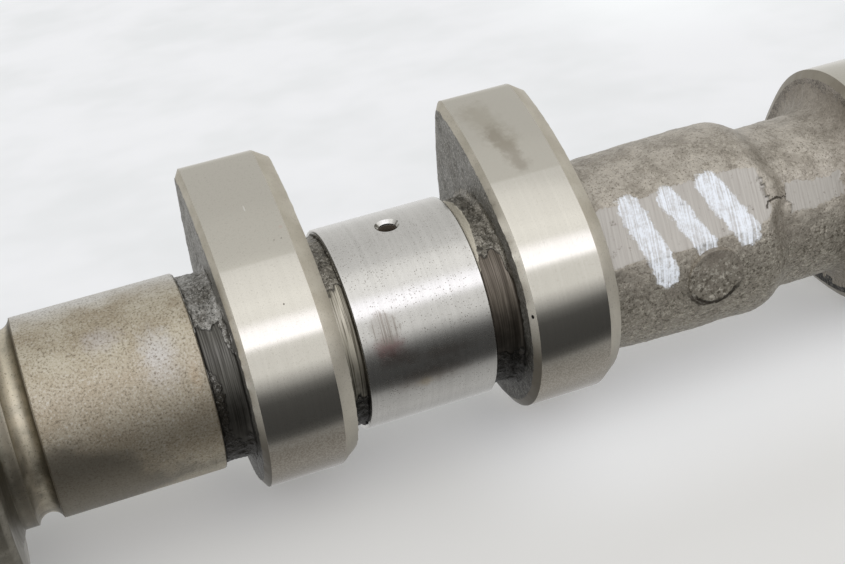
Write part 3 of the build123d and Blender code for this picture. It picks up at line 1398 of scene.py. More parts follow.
@dataclass(frozen=True)
class BarrelSkin(CastIron):
    """The barrel: cast skin, ground flats with chatter lines, and worn white paint."""

    name: str = "barrel_skin"
    pale: tuple = rgb(184, 177, 165)
    dull: tuple = rgb(154, 147, 135)
    low: tuple = rgb(158, 152, 139)
    pit: tuple = rgb(84, 76, 63)
    grit: tuple = rgb(208, 201, 186)
    grain: float = 0.36
    pit_share: float = 0.75
    contrast: float = 0.36
    low_contrast: float = 0.75
    bump: float = 0.08
    flat: tuple = rgb(177, 173, 165)
    flat_dull: tuple = rgb(160, 155, 147)
    paint: tuple = rgb(235, 240, 246)
    # dark tone of the real cracks and of the painted shadow round the gate's stub
    crack_and_edge_shadow: tuple = rgb(58, 50, 40)
    shade: tuple = rgb(116, 108, 97)
    shade_from: float = 110.5
    shade_to: float = 117.0
    marks: tuple = (
        Mark(101.8, 11.3, 127, 1.1, 2.2, rgb(112, 104, 90), 0.3, 0.8),
        Mark(101.4, 11.6, 167, 1.0, 2.4, rgb(96, 88, 74), 0.3, 0.8),
    )
    chatter: float = 0.5
    outer: tuple = (5.0, 6.0)
    dabs: tuple = (
        Stroke(84.4, -3.4, 86.6, 5.2, 1.45),
        Stroke(89.3, -3.2, 92.1, 3.6, 1.3),
        Stroke(94.6, -3.4, 97.4, 3.2, 1.6),
    )
    cracks: tuple = (
        Stroke(104.2, 0.15, 103.1, 0.5, 0.07),
        Stroke(103.1, 0.5, 102.3, 0.3, 0.12),
        Stroke(102.3, 0.3, 100.95, 0.55, 0.12),
        Stroke(100.95, 0.55, 100.6, 1.2, 0.10),
    )

    def surface(self, wires: Wiring) -> Feeds:
        """Lays the flats over the skin, then the paint, the cracks and the painted shadow round the
        gate's stub over both.

        Args:
            wires: the material's wiring.

        Returns:
            What feeds the Principled shader.
        """
        colour, height = self.skin(wires)
        side = ShaftSide().use(wires, Turn=PLAN.parting)
        flat = wires.stored("ground").span(0.4, 0.6)
        warped = side["Along"] + wires.pattern(wires.place((1, 0.35, 0.35)), 3.0, detail=2.0) * 0.7
        slanted = warped + side["Across"] * 0.1
        streak = wires.out("CombineXYZ", {0: slanted, 1: side["Across"] * 0.03})
        wave = (slanted * (math.tau / self.chatter)).math("SINE")
        fine = wires.pattern(streak, 0.2, detail=2.0, rough=0.6)
        chatter = wave * 0.05 + fine
        bare = chatter.span(0.22, 0.72).blend(self.flat_dull, self.flat)
        uneven = wires.pattern(wires.place(), 0.9, detail=5.0, rough=0.7)
        bare = uneven.span(0.42, 0.3, 0.0, 0.6).blend(bare, self.pit)
        colour = flat.blend(colour, bare)
        ragged_edge = (uneven - 0.5) * 2.0
        paint = self._paint(wires, side, height, fine, ragged_edge)
        shade = side["Along"].span(self.shade_from, self.shade_to, 0.0, 0.7)
        colour = shade.blend(colour, self.shade)
        colour = lay_all(wires, colour, self.marks)
        colour = paint.blend(colour, self.paint)
        torn = ragged_edge * 0.34
        # the ring round the gate's stub is painted shadow; the strokes after it are real cracks
        cracks: Value = StubEdgeShadow().use(wires, Radius=3.75)["Line"]
        for stroke in self.cracks:
            cracks = cracks.math("MAXIMUM", stroke.mask(wires, side, torn, 0.06))
        cracks = cracks * side["Out"].span(*self.outer)
        colour = (cracks * 0.85).blend(colour, self.crack_and_edge_shadow)
        relief = height * flat.span(0.0, 1.0, 1.0, 0.1) + chatter * flat * 0.14
        relief = relief + paint * 0.25 - cracks
        metal = paint.span(0.0, 1.0, self.metallic, 0.0)
        rough = flat.span(0.0, 1.0, self.rough, 0.42)
        return feeds_of(colour, metal, rough, wires.relief(relief, self.bump))

    def _paint(
        self, wires: Wiring, side: Mapping, grit: Signal, lines: Signal, uneven: Signal
    ) -> Signal:
        """Wires the worn dabs of paint.

        Args:
            wires: the material's wiring.
            side: the outputs of ShaftSide for the flat.
            grit: the relief of the skin under the paint.
            lines: the chatter lines under it.
            uneven: the raggedness of its edge.

        Returns:
            The mask of the dabs, eaten away by wear and by what lies under them.
        """
        total: Value = 0.0
        for dab in self.dabs:
            total = dab.mask(wires, side, uneven, 0.16).math("MAXIMUM", total)
        worn = uneven * 0.16 + lines * 0.6 + grit * 0.3
        return total * worn.span(0.26, 0.48, 0.3, 1.0) * side["Out"].span(*self.outer)


@dataclass(frozen=True)
class GateSkin(CastIron):
    """The gate's stub: the barrel's coarse skin, with a painted shadow along its lower edge."""

    name: str = "gate_skin"
    # dark tone of the painted shadow along the stub's edge
    crack_and_edge_shadow: tuple = rgb(44, 38, 31)
    pale: tuple = rgb(176, 168, 155)
    dull: tuple = rgb(150, 142, 130)
    low: tuple = rgb(152, 146, 133)
    pit: tuple = rgb(78, 70, 58)
    grain: float = 0.44
    low_contrast: float = 0.8
    bump: float = 0.08

    def surface(self, wires: Wiring) -> Feeds:
        """The cast skin with the painted shadow of its edge laid over it.

        Args:
            wires: the material's wiring.

        Returns:
            What feeds the Principled shader.
        """
        feeds = super().surface(wires)
        # painted shadow along the stub's lower edge
        torn = StubEdgeShadow().use(wires, Radius=3.3)["Line"]
        feeds["Base Color"] = torn.blend(feeds["Base Color"], self.crack_and_edge_shadow)
        return feeds


@dataclass(frozen=True)
class PlugSteel(Finish):
    """The pressed plug: bright steel, dulled by oil."""

    name: str = "plug_steel_bright"
    steel: tuple = rgb(186, 184, 180)
    film: tuple = rgb(150, 140, 120)

    def surface(self, wires: Wiring) -> Feeds:
        """Turned lines and a faint brown film.

        Args:
            wires: the material's wiring.

        Returns:
            What feeds the Principled shader.
        """
        lines = WheelLines().use(wires, Pitch=0.12, Sweep=1.5)
        film = wires.pattern(wires.place(), 1.5)
        colour = film.span(0.4, 0.7).blend(self.steel, self.film)
        rough = lines["Lines"].span(0.2, 0.8, 0.25, 0.4)
        return feeds_of(colour, 1.0, rough, wires.relief(lines["Lines"], 0.003))


# ---------------------------------------------------------------- the shaft's parts


def finish_piece(piece: Piece, finishes: Iterable[Finish]) -> None:
    """Dresses a piece, hides the casting that it stands for and has it ride with the shaft.

    Args:
        piece: a part of the casting.
        finishes: its finishes, in the order of its faces' numbers.
    """
    for finish in finishes:
        piece.data.materials.append(finish.material())
    focus(piece)
    bpy.ops.object.shade_smooth_by_angle(angle=math.radians(SMOOTH_BELOW))
    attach(piece, BODY)
    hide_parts(NODE_CASTING)
    log.info("%s: %d faces", piece.name, len(piece.data.polygons))


class ShaftPart:
    """A part of the casting that has one finish all over, unless it says otherwise."""

    finish: Finish

    def build(self) -> Piece:
        """Models the part and returns its mesh object."""
        raise NotImplementedError

    def dress(self, piece: Piece) -> None:
        """Gives the piece its finish."""
        finish_piece(piece, (self.finish,))


class LobeFace(IntEnum):
    """The finishes of a lobe, in the order in which its faces number them."""

    BAND = 0
    NEAR_BEVEL = 1
    CHEEK = 2
    FAR_BEVEL = 3


@dataclass
class CamLobe(ShaftPart):
    """One cam lobe: a ground band between two bevels, with cheeks as cast."""

    name: str
    centre: float
    nose: float
    band: Finish
    near_bevel: Finish
    far_bevel: Finish
    cheek: Finish
    base_steps: int = 150
    flank_steps: int = 40
    nose_steps: int = 36
    cheek_rings: int = 26
    cheek_shrink: float = 0.5
    edge_round: float = 0.05
    edge_angle: float = 20.0
    end_facing: float = 0.9
    end_sides: int = 8
    cheek_margins: Point = (0.3, 0.5)
    lumps: tuple = (Lumps(0.22, 1.1), Lumps(0.12, 0.35))

    @property
    def _near(self) -> float:
        """Where the ground band starts."""
        return self.centre - PLAN.lobe_width / 2

    def _arc(self, centre: Point, degrees: float, steps: int) -> None:
        """Spins the selected vertex into an arc about a centre, given as (y, z).

        Args:
            centre: the arc's centre.
            degrees: how far the arc goes round.
            steps: how many edges it has.
        """
        middle = Vector((self._near, *centre)) * MM
        bpy.ops.mesh.spin(
            steps=steps, angle=-math.radians(degrees), center=middle, axis=(1, 0, 0)
        )

    def _cheek(self, face: float) -> None:
        """Fills the selected end with rings that shrink towards the shaft axis.

        Args:
            face: where the end is along the shaft.
        """
        shrink = self.cheek_shrink ** (1 / self.cheek_rings)
        for _ in range(self.cheek_rings):
            bpy.ops.mesh.extrude_region_move()
            bpy.ops.transform.resize(value=(1, shrink, shrink), center_override=(face * MM, 0, 0))
        bpy.ops.mesh.merge(type="CENTER")

    def _pick_end(self, piece: Piece, side: int) -> None:
        """Selects only the large end face that looks along X on that side.

        Args:
            piece: the lobe, in edit mode.
            side: 1 for the far end, -1 for the near one.
        """
        bpy.ops.mesh.select_all(action="DESELECT")
        close()
        for face in piece.data.polygons:
            face.select = face.normal.x * side > self.end_facing and len(face.vertices) > self.end_sides
        bpy.ops.object.mode_set(mode="EDIT")

    def build(self) -> Piece:
        """Models the lobe with its nose along +Y, then turns it to its place.

        Returns:
            The lobe's mesh object.
        """
        piece = start_piece(self.name, (self._near, *polar(CAM.base, CAM.base_end)))
        flank_y, flank_z = CAM.flank_centre
        flank_sweep = CAM.base_end - CAM.nose_end
        self._arc((0, 0), 360 - 2 * CAM.base_end, self.base_steps)
        self._arc((flank_y, flank_z), flank_sweep, self.flank_steps)
        self._arc((CAM.nose_distance, 0), 2 * CAM.nose_end, self.nose_steps)
        self._arc((flank_y, -flank_z), flank_sweep, self.flank_steps)
        bpy.ops.mesh.select_all(action="SELECT")
        bpy.ops.mesh.remove_doubles(threshold=WELD * 10)
        bpy.ops.mesh.edge_face_add()
        bpy.ops.mesh.select_mode(type="FACE")
        extrude(Vector((PLAN.lobe_width, 0, 0)) * MM)
        bpy.ops.mesh.select_all(action="SELECT")
        bpy.ops.mesh.normals_make_consistent(inside=False)
        near_face, far_face = PLAN.lobe_faces(self.centre)
        for side, drop, width, face in (
            (1, PLAN.far_drop, PLAN.far_width, far_face),
            (-1, PLAN.near_drop, PLAN.near_width, near_face),
        ):
            self._pick_end(piece, side)
            bpy.ops.mesh.inset(thickness=drop * MM, depth=width * MM)
            self._cheek(face)
        weld()
        edit("EDGE", "DESELECT")
        bpy.ops.mesh.edges_select_sharp(sharpness=math.radians(self.edge_angle))
        bpy.ops.mesh.bevel(offset=self.edge_round * MM, segments=2)
        close()
        pose_piece(piece, about_shaft(self.nose))
        self._roughen_cheeks(piece, near_face, far_face)
        return piece

    def _roughen_cheeks(self, piece: Piece, near: float, far: float) -> None:
        """Gives the cheeks the uneven skin of the mould.

        Args:
            piece: the closed lobe.
            near: where its near cheek is along the shaft.
            far: where its far cheek is.
        """
        edge = set()
        for face in piece.data.polygons:
            if abs(face.normal.x) < self.end_facing:
                edge.update((piece.data.vertices[i].co / MM).to_tuple(2) for i in face.vertices)

        def on_cheek(place: Vector) -> float:
            """1 on the cheeks, 0 between them and on their edges."""
            return float(not near + 0.02 <= place.x <= far - 0.02 and place.to_tuple(2) not in edge)

        roughen(piece, self.lumps, on_cheek)

    def dress(self, piece: Piece) -> None:
        """Lays out the lobe's finishes by which way each face looks.

        Args:
            piece: the lobe.
        """
        finish_piece(piece, (self.band, self.near_bevel, self.cheek, self.far_bevel))
        near_face, far_face = PLAN.lobe_faces(self.centre)
        for face in piece.data.polygons:
            middle = face.center.x / MM
            on_end = not near_face + self.cheek_margins[0] < middle < far_face - self.cheek_margins[1]
            if on_end and abs(face.normal.x) > self.end_facing:
                face.material_index = LobeFace.CHEEK
            elif abs(middle - self.centre) > PLAN.lobe_width / 2:
                near = middle < self.centre
                face.material_index = LobeFace.NEAR_BEVEL if near else LobeFace.FAR_BEVEL


@dataclass
class Journal(ShaftPart):
    """A ground bearing journal with chamfered ends, and maybe an oil feed hole."""

    name: str
    start: float
    end: float
    radius: float
    finish: Finish
    feed_at: Optional[float] = None
    chamfer: float = 0.14
    corner_round: float = 0.06
    step: float = 0.45
    band_depth: float = 3.0
    divisions: int = 288
    feed_radius: float = 1.05
    feed_root: float = 3.0
    cone_radius: float = 1.45
    cone_depth: float = 0.45
    drill_over: float = 0.6
    drill_divisions: int = 48

    def build(self) -> Piece:
        """Turns the journal and drills its feed hole.

        Returns:
            The journal's mesh object.
        """
        inner = self.radius - self.chamfer
        corners = [
            (self.start, 0),
            (self.start, inner, self.corner_round),
            (self.start + self.chamfer, self.radius, self.corner_round),
            (self.end - self.chamfer, self.radius, self.corner_round),
            (self.end, inner, self.corner_round),
            (self.end, 0),
        ]
        least = self.radius - self.band_depth
        piece = turn_piece(self.name, corners, self.divisions, self.step, least)
        if self.feed_at is not None:
            cut_with(piece, self._drill())
        return piece

    def _drill(self) -> Piece:
        """A countersunk drill that stands across the shaft at the feed hole.

        Returns:
            The drill's mesh object.
        """
        slope = (self.cone_radius - self.feed_radius) / self.cone_depth
        top = self.radius + self.drill_over
        outline = [
            (self.feed_root, 0),
            (self.feed_root, self.feed_radius),
            (self.radius - self.cone_depth, self.feed_radius),
            (top, self.cone_radius + slope * self.drill_over),
            (top, 0),
        ]
        drill = turn_piece("feed_drill", outline, self.drill_divisions)
        outwards = Vector((0, *polar(1, PLAN.feed)))
        turned = Vector((1, 0, 0)).rotation_difference(outwards).to_matrix().to_4x4()
        pose_piece(drill, Matrix.Translation((self.feed_at * MM, 0, 0)) @ turned)
        return drill


@dataclass(frozen=True)
class CastRim:
    """A strip of cast skin that the lathe has left along one end of a neck."""

    at_start: bool
    turn_from: float
    turn_to: float
    width: float
    fade: float = 14.0

    def width_at(self, turn: float) -> float:
        """The strip's width at a turn, 0 beyond its ends."""
        middle, half = (self.turn_from + self.turn_to) / 2, (self.turn_to - self.turn_from) / 2
        return self.width * within(turn, middle, half, self.fade)


@dataclass
class Neck(ShaftPart):
    """A cast neck between two ground parts, skimmed by the lathe over one sector."""

    name: str
    start: float
    end: float
    radius: float
    start_flare: float
    end_flare: float
    finish: Finish
    turned_middle: float
    turned_half: float
    rims: tuple = ()
    shoulder_turn: Optional[float] = None
    shoulder_width: float = 1.25
    hidden: float = 0.8
    step: float = 0.15
    divisions: int = 340
    lumps: tuple = (Lumps(0.30, 0.9, 3, 0.38), Lumps(0.18, 0.3))

    def _turned(self, place: Vector) -> float:
        """Where the lathe has skimmed the neck.

        Args:
            place: a vertex's place, in millimetres.

        Returns:
            1 where it has, 0 where the cast skin is left.
        """
        turn = turn_of(place)
        kept = within(turn + 9 * ragged(place, 0.9), self.turned_middle, self.turned_half, 5)
        for rim in self.rims:
            from_end = place.x - self.start if rim.at_start else self.end - place.x
            width = rim.width_at(turn) * (1 + 0.5 * ragged(place, 0.45)) - 0.1
            kept *= soft_step(from_end, width - 0.1, width + 0.1)
        return kept

    def _shoulder(self, place: Vector) -> float:
        """Where the thin turned shoulder beside the journal is left.

        Args:
            place: a vertex's place, in millimetres.

        Returns:
            1 on the shoulder, 0 elsewhere.
        """
        if self.shoulder_turn is None:
            return 0.0
        near = 1 - soft_step(turn_between(turn_of(place), self.shoulder_turn), 5, 60)
        width = self.shoulder_width * near + 0.12 * ragged(place, 0.6)
        return 1 - soft_step(place.x - self.start, width - 0.06, width + 0.06)

    def _as_cast(self, place: Vector) -> float:
        """1 where neither the lathe nor the shoulder has taken the skin off."""
        return 1 - max(self._turned(place), self._shoulder(place))

    def build(self) -> Piece:
        """Turns the neck and gives its cast part the mould's unevenness.

        Returns:
            The neck's mesh object.
        """
        low, high = self.radius + self.start_flare, self.radius + self.end_flare
        corners = [
            *hidden_end(self.start, -self.hidden, low),
            (self.start, self.radius, self.start_flare),
            (self.end, self.radius, self.end_flare),
            *reversed(hidden_end(self.end, self.hidden, high)),
        ]
        least = self.radius - END_DEPTH
        piece = turn_piece(self.name, corners, self.divisions, self.step, least)
        store(piece, "turned", self._turned)
        store(piece, "shoulder", self._shoulder)
        roughen(piece, self.lumps, self._as_cast)
        return piece


@dataclass
class Barrel(ShaftPart):
    """The cast barrel and waist between the cylinders, with the ground-off parting line."""

    name: str = "barrel"
    finish: Finish = BarrelSkin()
    start_radius: float = 11.6
    radius: float = 12.1
    swell: float = 11.0
    swell_round: float = 5.0
    length: float = 21.45
    shoulder: float = 2.7
    shoulder_round: float = 1.2
    waist: float = 10.15
    waist_flare: float = 3.2
    flat_start: float = 11.15
    flat_end: float = 11.62
    waist_flat: float = 10.0
    flat_turn: float = -2.6
    waist_turn: float = 4.4
    run_out: float = 0.5
    hidden: float = 0.8
    step: float = 0.22
    divisions: int = 360
    shifts: tuple = ((144.0, 0.4), (173.0, -0.6))
    shift_half: float = 5.0
    shift_reach: float = 4.2
    lumps: tuple = (Lumps(0.35, 4.5, 1), Lumps(0.14, 1.2), Lumps(0.09, 0.4))

    def build(self) -> Piece:
        """Turns the barrel, roughens it, and grinds its two pairs of flats.

        Returns:
            The barrel's mesh object.
        """
        start = PLAN.lobe_faces(PLAN.lobe_centres(0)[1])[1]
        end = PLAN.lobe_faces(PLAN.lobe_centres(1)[0])[0]
        shoulder = start + self.length
        waist = shoulder + self.shoulder
        corners = [
            *hidden_end(start, -self.hidden, self.start_radius),
            (start + self.swell, self.radius, self.swell_round),
            (shoulder, self.radius, self.shoulder_round),
            (waist, self.waist, self.shoulder_round),
            (end, self.waist, self.waist_flare),
            *reversed(hidden_end(end, self.hidden, self.waist + self.waist_flare)),
        ]
        piece = turn_piece(self.name, corners, self.divisions, self.step, self.waist - END_DEPTH)
        roughen(piece, self.lumps)
        self._shift_shoulder(piece, shoulder, waist)
        piece.data.attributes.new("ground", "FLOAT", "POINT")
        rise = math.degrees(math.atan2(self.flat_end - self.flat_start, shoulder - start))
        body_reach = (start - 1, shoulder + 0.2)
        waist_reach = (waist + 0.5, end - self.waist_flare)
        for side in (1, -1):
            self._grind(piece, side, body_reach, self.flat_turn, self.flat_start, rise)
            self._grind(piece, side, waist_reach, self.waist_turn, self.waist_flat, 0.0)
        pose_piece(piece, about_shaft(PLAN.parting - 90))
        return piece

    def _shift_shoulder(self, piece: Piece, shoulder: float, waist: float) -> None:
        """Pulls the shoulder out of true where the two halves of the mould met.

        Args:
            piece: the barrel, with its flats above and below the shaft.
            shoulder: where the shoulder starts along the shaft.
            waist: where it ends.
        """
        for turn, shift in self.shifts:
            middle = turn - PLAN.parting + 90

            def near_seam(place: Vector) -> bool:
                """True on the shoulder, close to the turn of this shift."""
                on_shoulder = shoulder - 0.4 < place.x < waist + 0.2
                return on_shoulder and turn_between(turn_of(place), middle) < self.shift_half

            pick_vertices(piece, near_seam)
            bpy.ops.transform.translate(
                value=(shift * MM, 0, 0),
                use_proportional_edit=True,
                proportional_edit_falloff="SMOOTH",
                proportional_size=self.shift_reach * MM,
            )
            close()

    def _grind(
        self, piece: Piece, side: int, reach: Point, turn: float, flat: float, rise: float
    ) -> None:
        """Flattens what stands past a flat and notes where it did so.

        Args:
            piece: the barrel, with its flats above and below the shaft.
            side: 1 for the upper flat, -1 for the lower.
            reach: where the flat starts and ends along the shaft.
            turn: how far the flat is turned about the shaft.
            flat: its distance from the axis at its start.
            rise: the angle at which it leaves the axis along the shaft.
        """
        pose = Matrix.Rotation(math.radians(rise * side), 4, "Y") @ about_shaft(-turn)
        level = flat * math.cos(math.radians(rise)) - reach[0] * math.sin(math.radians(rise))
        pose_piece(piece, pose)

        def stands_out(place: Vector) -> bool:
            """True for what the wheel takes off, with ragged ends."""
            along = place.x + self.run_out * ragged(place, 0.9)
            return reach[0] < along < reach[1] and place.z * side > level

        picked = pick_vertices(piece, stands_out)
        bpy.ops.transform.resize(value=(1, 1, 0), center_override=(0, 0, side * level * MM))
        close()
        ground = piece.data.attributes["ground"].data
        for index in picked:
            ground[index].value = 1.0
        pose_piece(piece, pose.inverted())


@dataclass
class GateStub(ShaftPart):
    """The stub of the casting gate, ground nearly flush with the barrel."""

    name: str = "gate_stub"
    finish: Finish = GateSkin()
    radius: float = 3.5
    top: float = 12.2
    root: float = 9.5
    lifts: int = 9
    rings: int = 18
    ringed: float = 0.97
    divisions: int = 96
    lumps: tuple = (Lumps(0.22, 1.2), Lumps(0.10, 0.4))

    def build(self) -> Piece:
        """Draws the stub as a short stepped post, stands it on the barrel and roughens it.

        Returns:
            The stub's mesh object.
        """
        bpy.ops.object.select_all(action="DESELECT")
        bpy.ops.mesh.primitive_circle_add(
            vertices=self.divisions, radius=self.radius * MM, fill_type="NGON"
        )
        piece = bpy.context.object
        piece.name = self.name
        pose_piece(piece, Matrix.Translation((0, 0, self.root * MM)))
        edit("FACE")
        for _ in range(self.lifts):
            extrude(Vector((0, 0, (self.top - self.root) / self.lifts)) * MM)
        for _ in range(self.rings):
            bpy.ops.mesh.inset(thickness=self.radius * self.ringed / self.rings * MM)
        edit("VERT")
        bpy.ops.mesh.normals_make_consistent(inside=False)
        close()
        roughen(piece, self.lumps)
        turned = about_shaft(PLAN.parting + PLAN.gate_turn - 90)
        pose_piece(piece, Matrix.Translation((PLAN.gate_at * MM, 0, 0)) @ turned)
        return piece


@dataclass
class SprocketEnd(ShaftPart):
    """Pilot, bolting flange, relief cone, land and ring groove, all turned."""

    name: str = "sprocket_end"
    finish: Finish = TurnedEnd()
    pilot_radius: float = 10.0
    pilot_length: float = 3.0
    pilot_chamfer: float = 0.6
    pilot_round: float = 0.08
    flange_radius: float = 17.0
    flange: float = 9.5
    flange_chamfer: float = 0.7
    edge_round: float = 0.1
    relief_radius: float = 13.5
    relief: float = 0.8
    land: float = 1.6
    land_radius: float = 11.5
    groove_radius: float = 1.45
    groove_depth: float = 1.05
    groove_steps: int = 18
    hidden: float = 0.8
    hidden_radius: float = 11.15
    seat_radius: float = 3.5
    seat_end: float = 4.0
    gallery_radius: float = 2.5
    gallery_end: float = 5.6
    gallery_tip: float = 7.0
    bolt_circle: float = 13.0
    bolt_drill: float = 2.5
    bolt_depth: float = 6.5
    bolt_divisions: int = 64
    thread_depth: float = 0.45
    pitch: float = 1.0
    mouth: float = 0.8
    mouth_depth: float = 0.3
    blind: float = 1.5
    divisions: int = 288

    def _groove(self, start: float) -> list[Point]:
        """The ring groove's round section.

        Args:
            start: where the groove starts along the shaft.

        Returns:
            The section's points as (x, radius).
        """
        half = math.sqrt(self.groove_radius**2 - (self.groove_radius - self.groove_depth) ** 2)
        centre = self.land_radius - self.groove_depth + self.groove_radius
        edge = math.asin(half / self.groove_radius)
        points = []
        for step in range(self.groove_steps + 1):
            angle = -edge + 2 * edge * step / self.groove_steps
            along = start + half + self.groove_radius * math.sin(angle)
            points.append((along, centre - self.groove_radius * math.cos(angle)))
        return points

    def build(self) -> Piece:
        """Turns the end and drills its two bolt holes.

        Returns:
            The end's mesh object.
        """
        land_start = self.flange + self.relief
        pilot, pilot_start = self.pilot_radius - self.pilot_chamfer, -self.pilot_length
        rim = self.flange_radius - self.flange_chamfer
        last = PLAN.drive_start + self.hidden
        corners = [
            (self.gallery_tip, 0),
            (self.gallery_end, self.gallery_radius),
            (self.seat_end, self.gallery_radius),
            (self.seat_end, self.seat_radius),
            (pilot_start, self.seat_radius),
            (pilot_start, pilot, self.pilot_round),
            (pilot_start + self.pilot_chamfer, self.pilot_radius, self.pilot_round),
            (0, self.pilot_radius),
            (0, rim, self.edge_round),
            (self.flange_chamfer, self.flange_radius, self.edge_round),
            (self.flange - self.flange_chamfer, self.flange_radius, self.edge_round),
            (self.flange, rim, self.edge_round),
            (self.flange, self.relief_radius),
            (land_start, self.land_radius, self.edge_round),
            *self._groove(land_start + self.land),
            (last, self.hidden_radius),
            (last, 0),
        ]
        piece = turn_piece(self.name, corners, self.divisions)
        for turn in (PLAN.noses[0], PLAN.noses[0] + 180):
            cut_with(piece, self._bolt_drill(turn))
        return piece

    def _bolt_drill(self, turn: float) -> Piece:
        """A drill and tap for one bolt hole, with the thread's ridges on it.

        Args:
            turn: where the hole is on the bolt circle.

        Returns:
            The drill's mesh object.
        """
        crest = self.bolt_drill + self.thread_depth
        outline = [(-0.5, 0), (-0.5, crest + self.mouth), (self.mouth_depth, crest)]
        ridge = ((0.12, crest), (0.5, self.bolt_drill), (0.62, self.bolt_drill), (1.0, crest))
        x = self.mouth_depth
        while x < self.bolt_depth - self.blind:
            outline += [(x + self.pitch * share, radius) for share, radius in ridge]
            x += self.pitch
        outline += [(x + 0.4, self.bolt_drill), (self.bolt_depth, self.bolt_drill)]
        outline.append((self.bolt_depth + self.bolt_drill * 0.6, 0))
        drill = turn_piece("bolt_drill", outline, self.bolt_divisions)
        pose_piece(drill, Matrix.Translation(Vector((0, *polar(self.bolt_circle, turn))) * MM))
        return drill


@dataclass
class FreeEnd(ShaftPart):
    """The short neck and turned stub past the last lobe, with its grinding centre."""

    name: str = "free_end"
    finish: Finish = CastIron()
    stub_finish: Finish = GroundIron("turned_stub", rough=0.34)
    neck_radius: float = 10.15
    neck_length: float = 2.6
    flare: float = 0.8
    radius: float = 9.5
    length: float = 3.6
    chamfer: float = 0.8
    edge_round: float = 0.1
    hole_radius: float = 1.25
    hole_depth: float = 5.0
    hole_tip: float = 0.7
    cone_radius: float = 2.8
    cone_half_angle: float = 30.0
    hidden: float = 0.8
    step: float = 0.2
    divisions: int = 288
    lumps: tuple = (Lumps(0.22, 1.2), Lumps(0.12, 0.4))

    @property
    def _face(self) -> float:
        """Where the last lobe ends."""
        return PLAN.lobe_faces(PLAN.lobe_centres(1)[1])[1]

    def build(self) -> Piece:
        """Turns the stub with its centre hole, and roughens its neck.

        Returns:
            The end's mesh object.
        """
        start = self._face + self.neck_length
        end = start + self.length
        cone = (self.cone_radius - self.hole_radius) / math.tan(math.radians(self.cone_half_angle))
        corners = [
            *hidden_end(self._face, -self.hidden, self.neck_radius + self.flare),
            (self._face, self.neck_radius, self.flare),
            (start, self.neck_radius),
            (start, self.radius),
            (end - self.chamfer, self.radius, self.edge_round),
            (end, self.radius - self.chamfer, self.edge_round),
            (end, self.cone_radius),
            (end - cone, self.hole_radius),
            (end - self.hole_depth, self.hole_radius),
            (end - self.hole_depth - self.hole_tip, 0),
        ]
        piece = turn_piece(self.name, corners, self.divisions, self.step)

        def on_neck(place: Vector) -> float:
            """1 on the cast neck, fading to 0 before the stub."""
            return 1 - soft_step(place.x, start - 0.5, start - 0.2)

        roughen(piece, self.lumps, on_neck)
        return piece

    def dress(self, piece: Piece) -> None:
        """Gives the neck cast skin and the stub its turned finish.

        Args:
            piece: the end.
        """
        finish_piece(piece, (self.finish, self.stub_finish))
        start = self._face + self.neck_length
        for face in piece.data.polygons:
            face.material_index = int(face.center.x / MM > start - 0.05)


# ---------------------------------------------------------------- studio


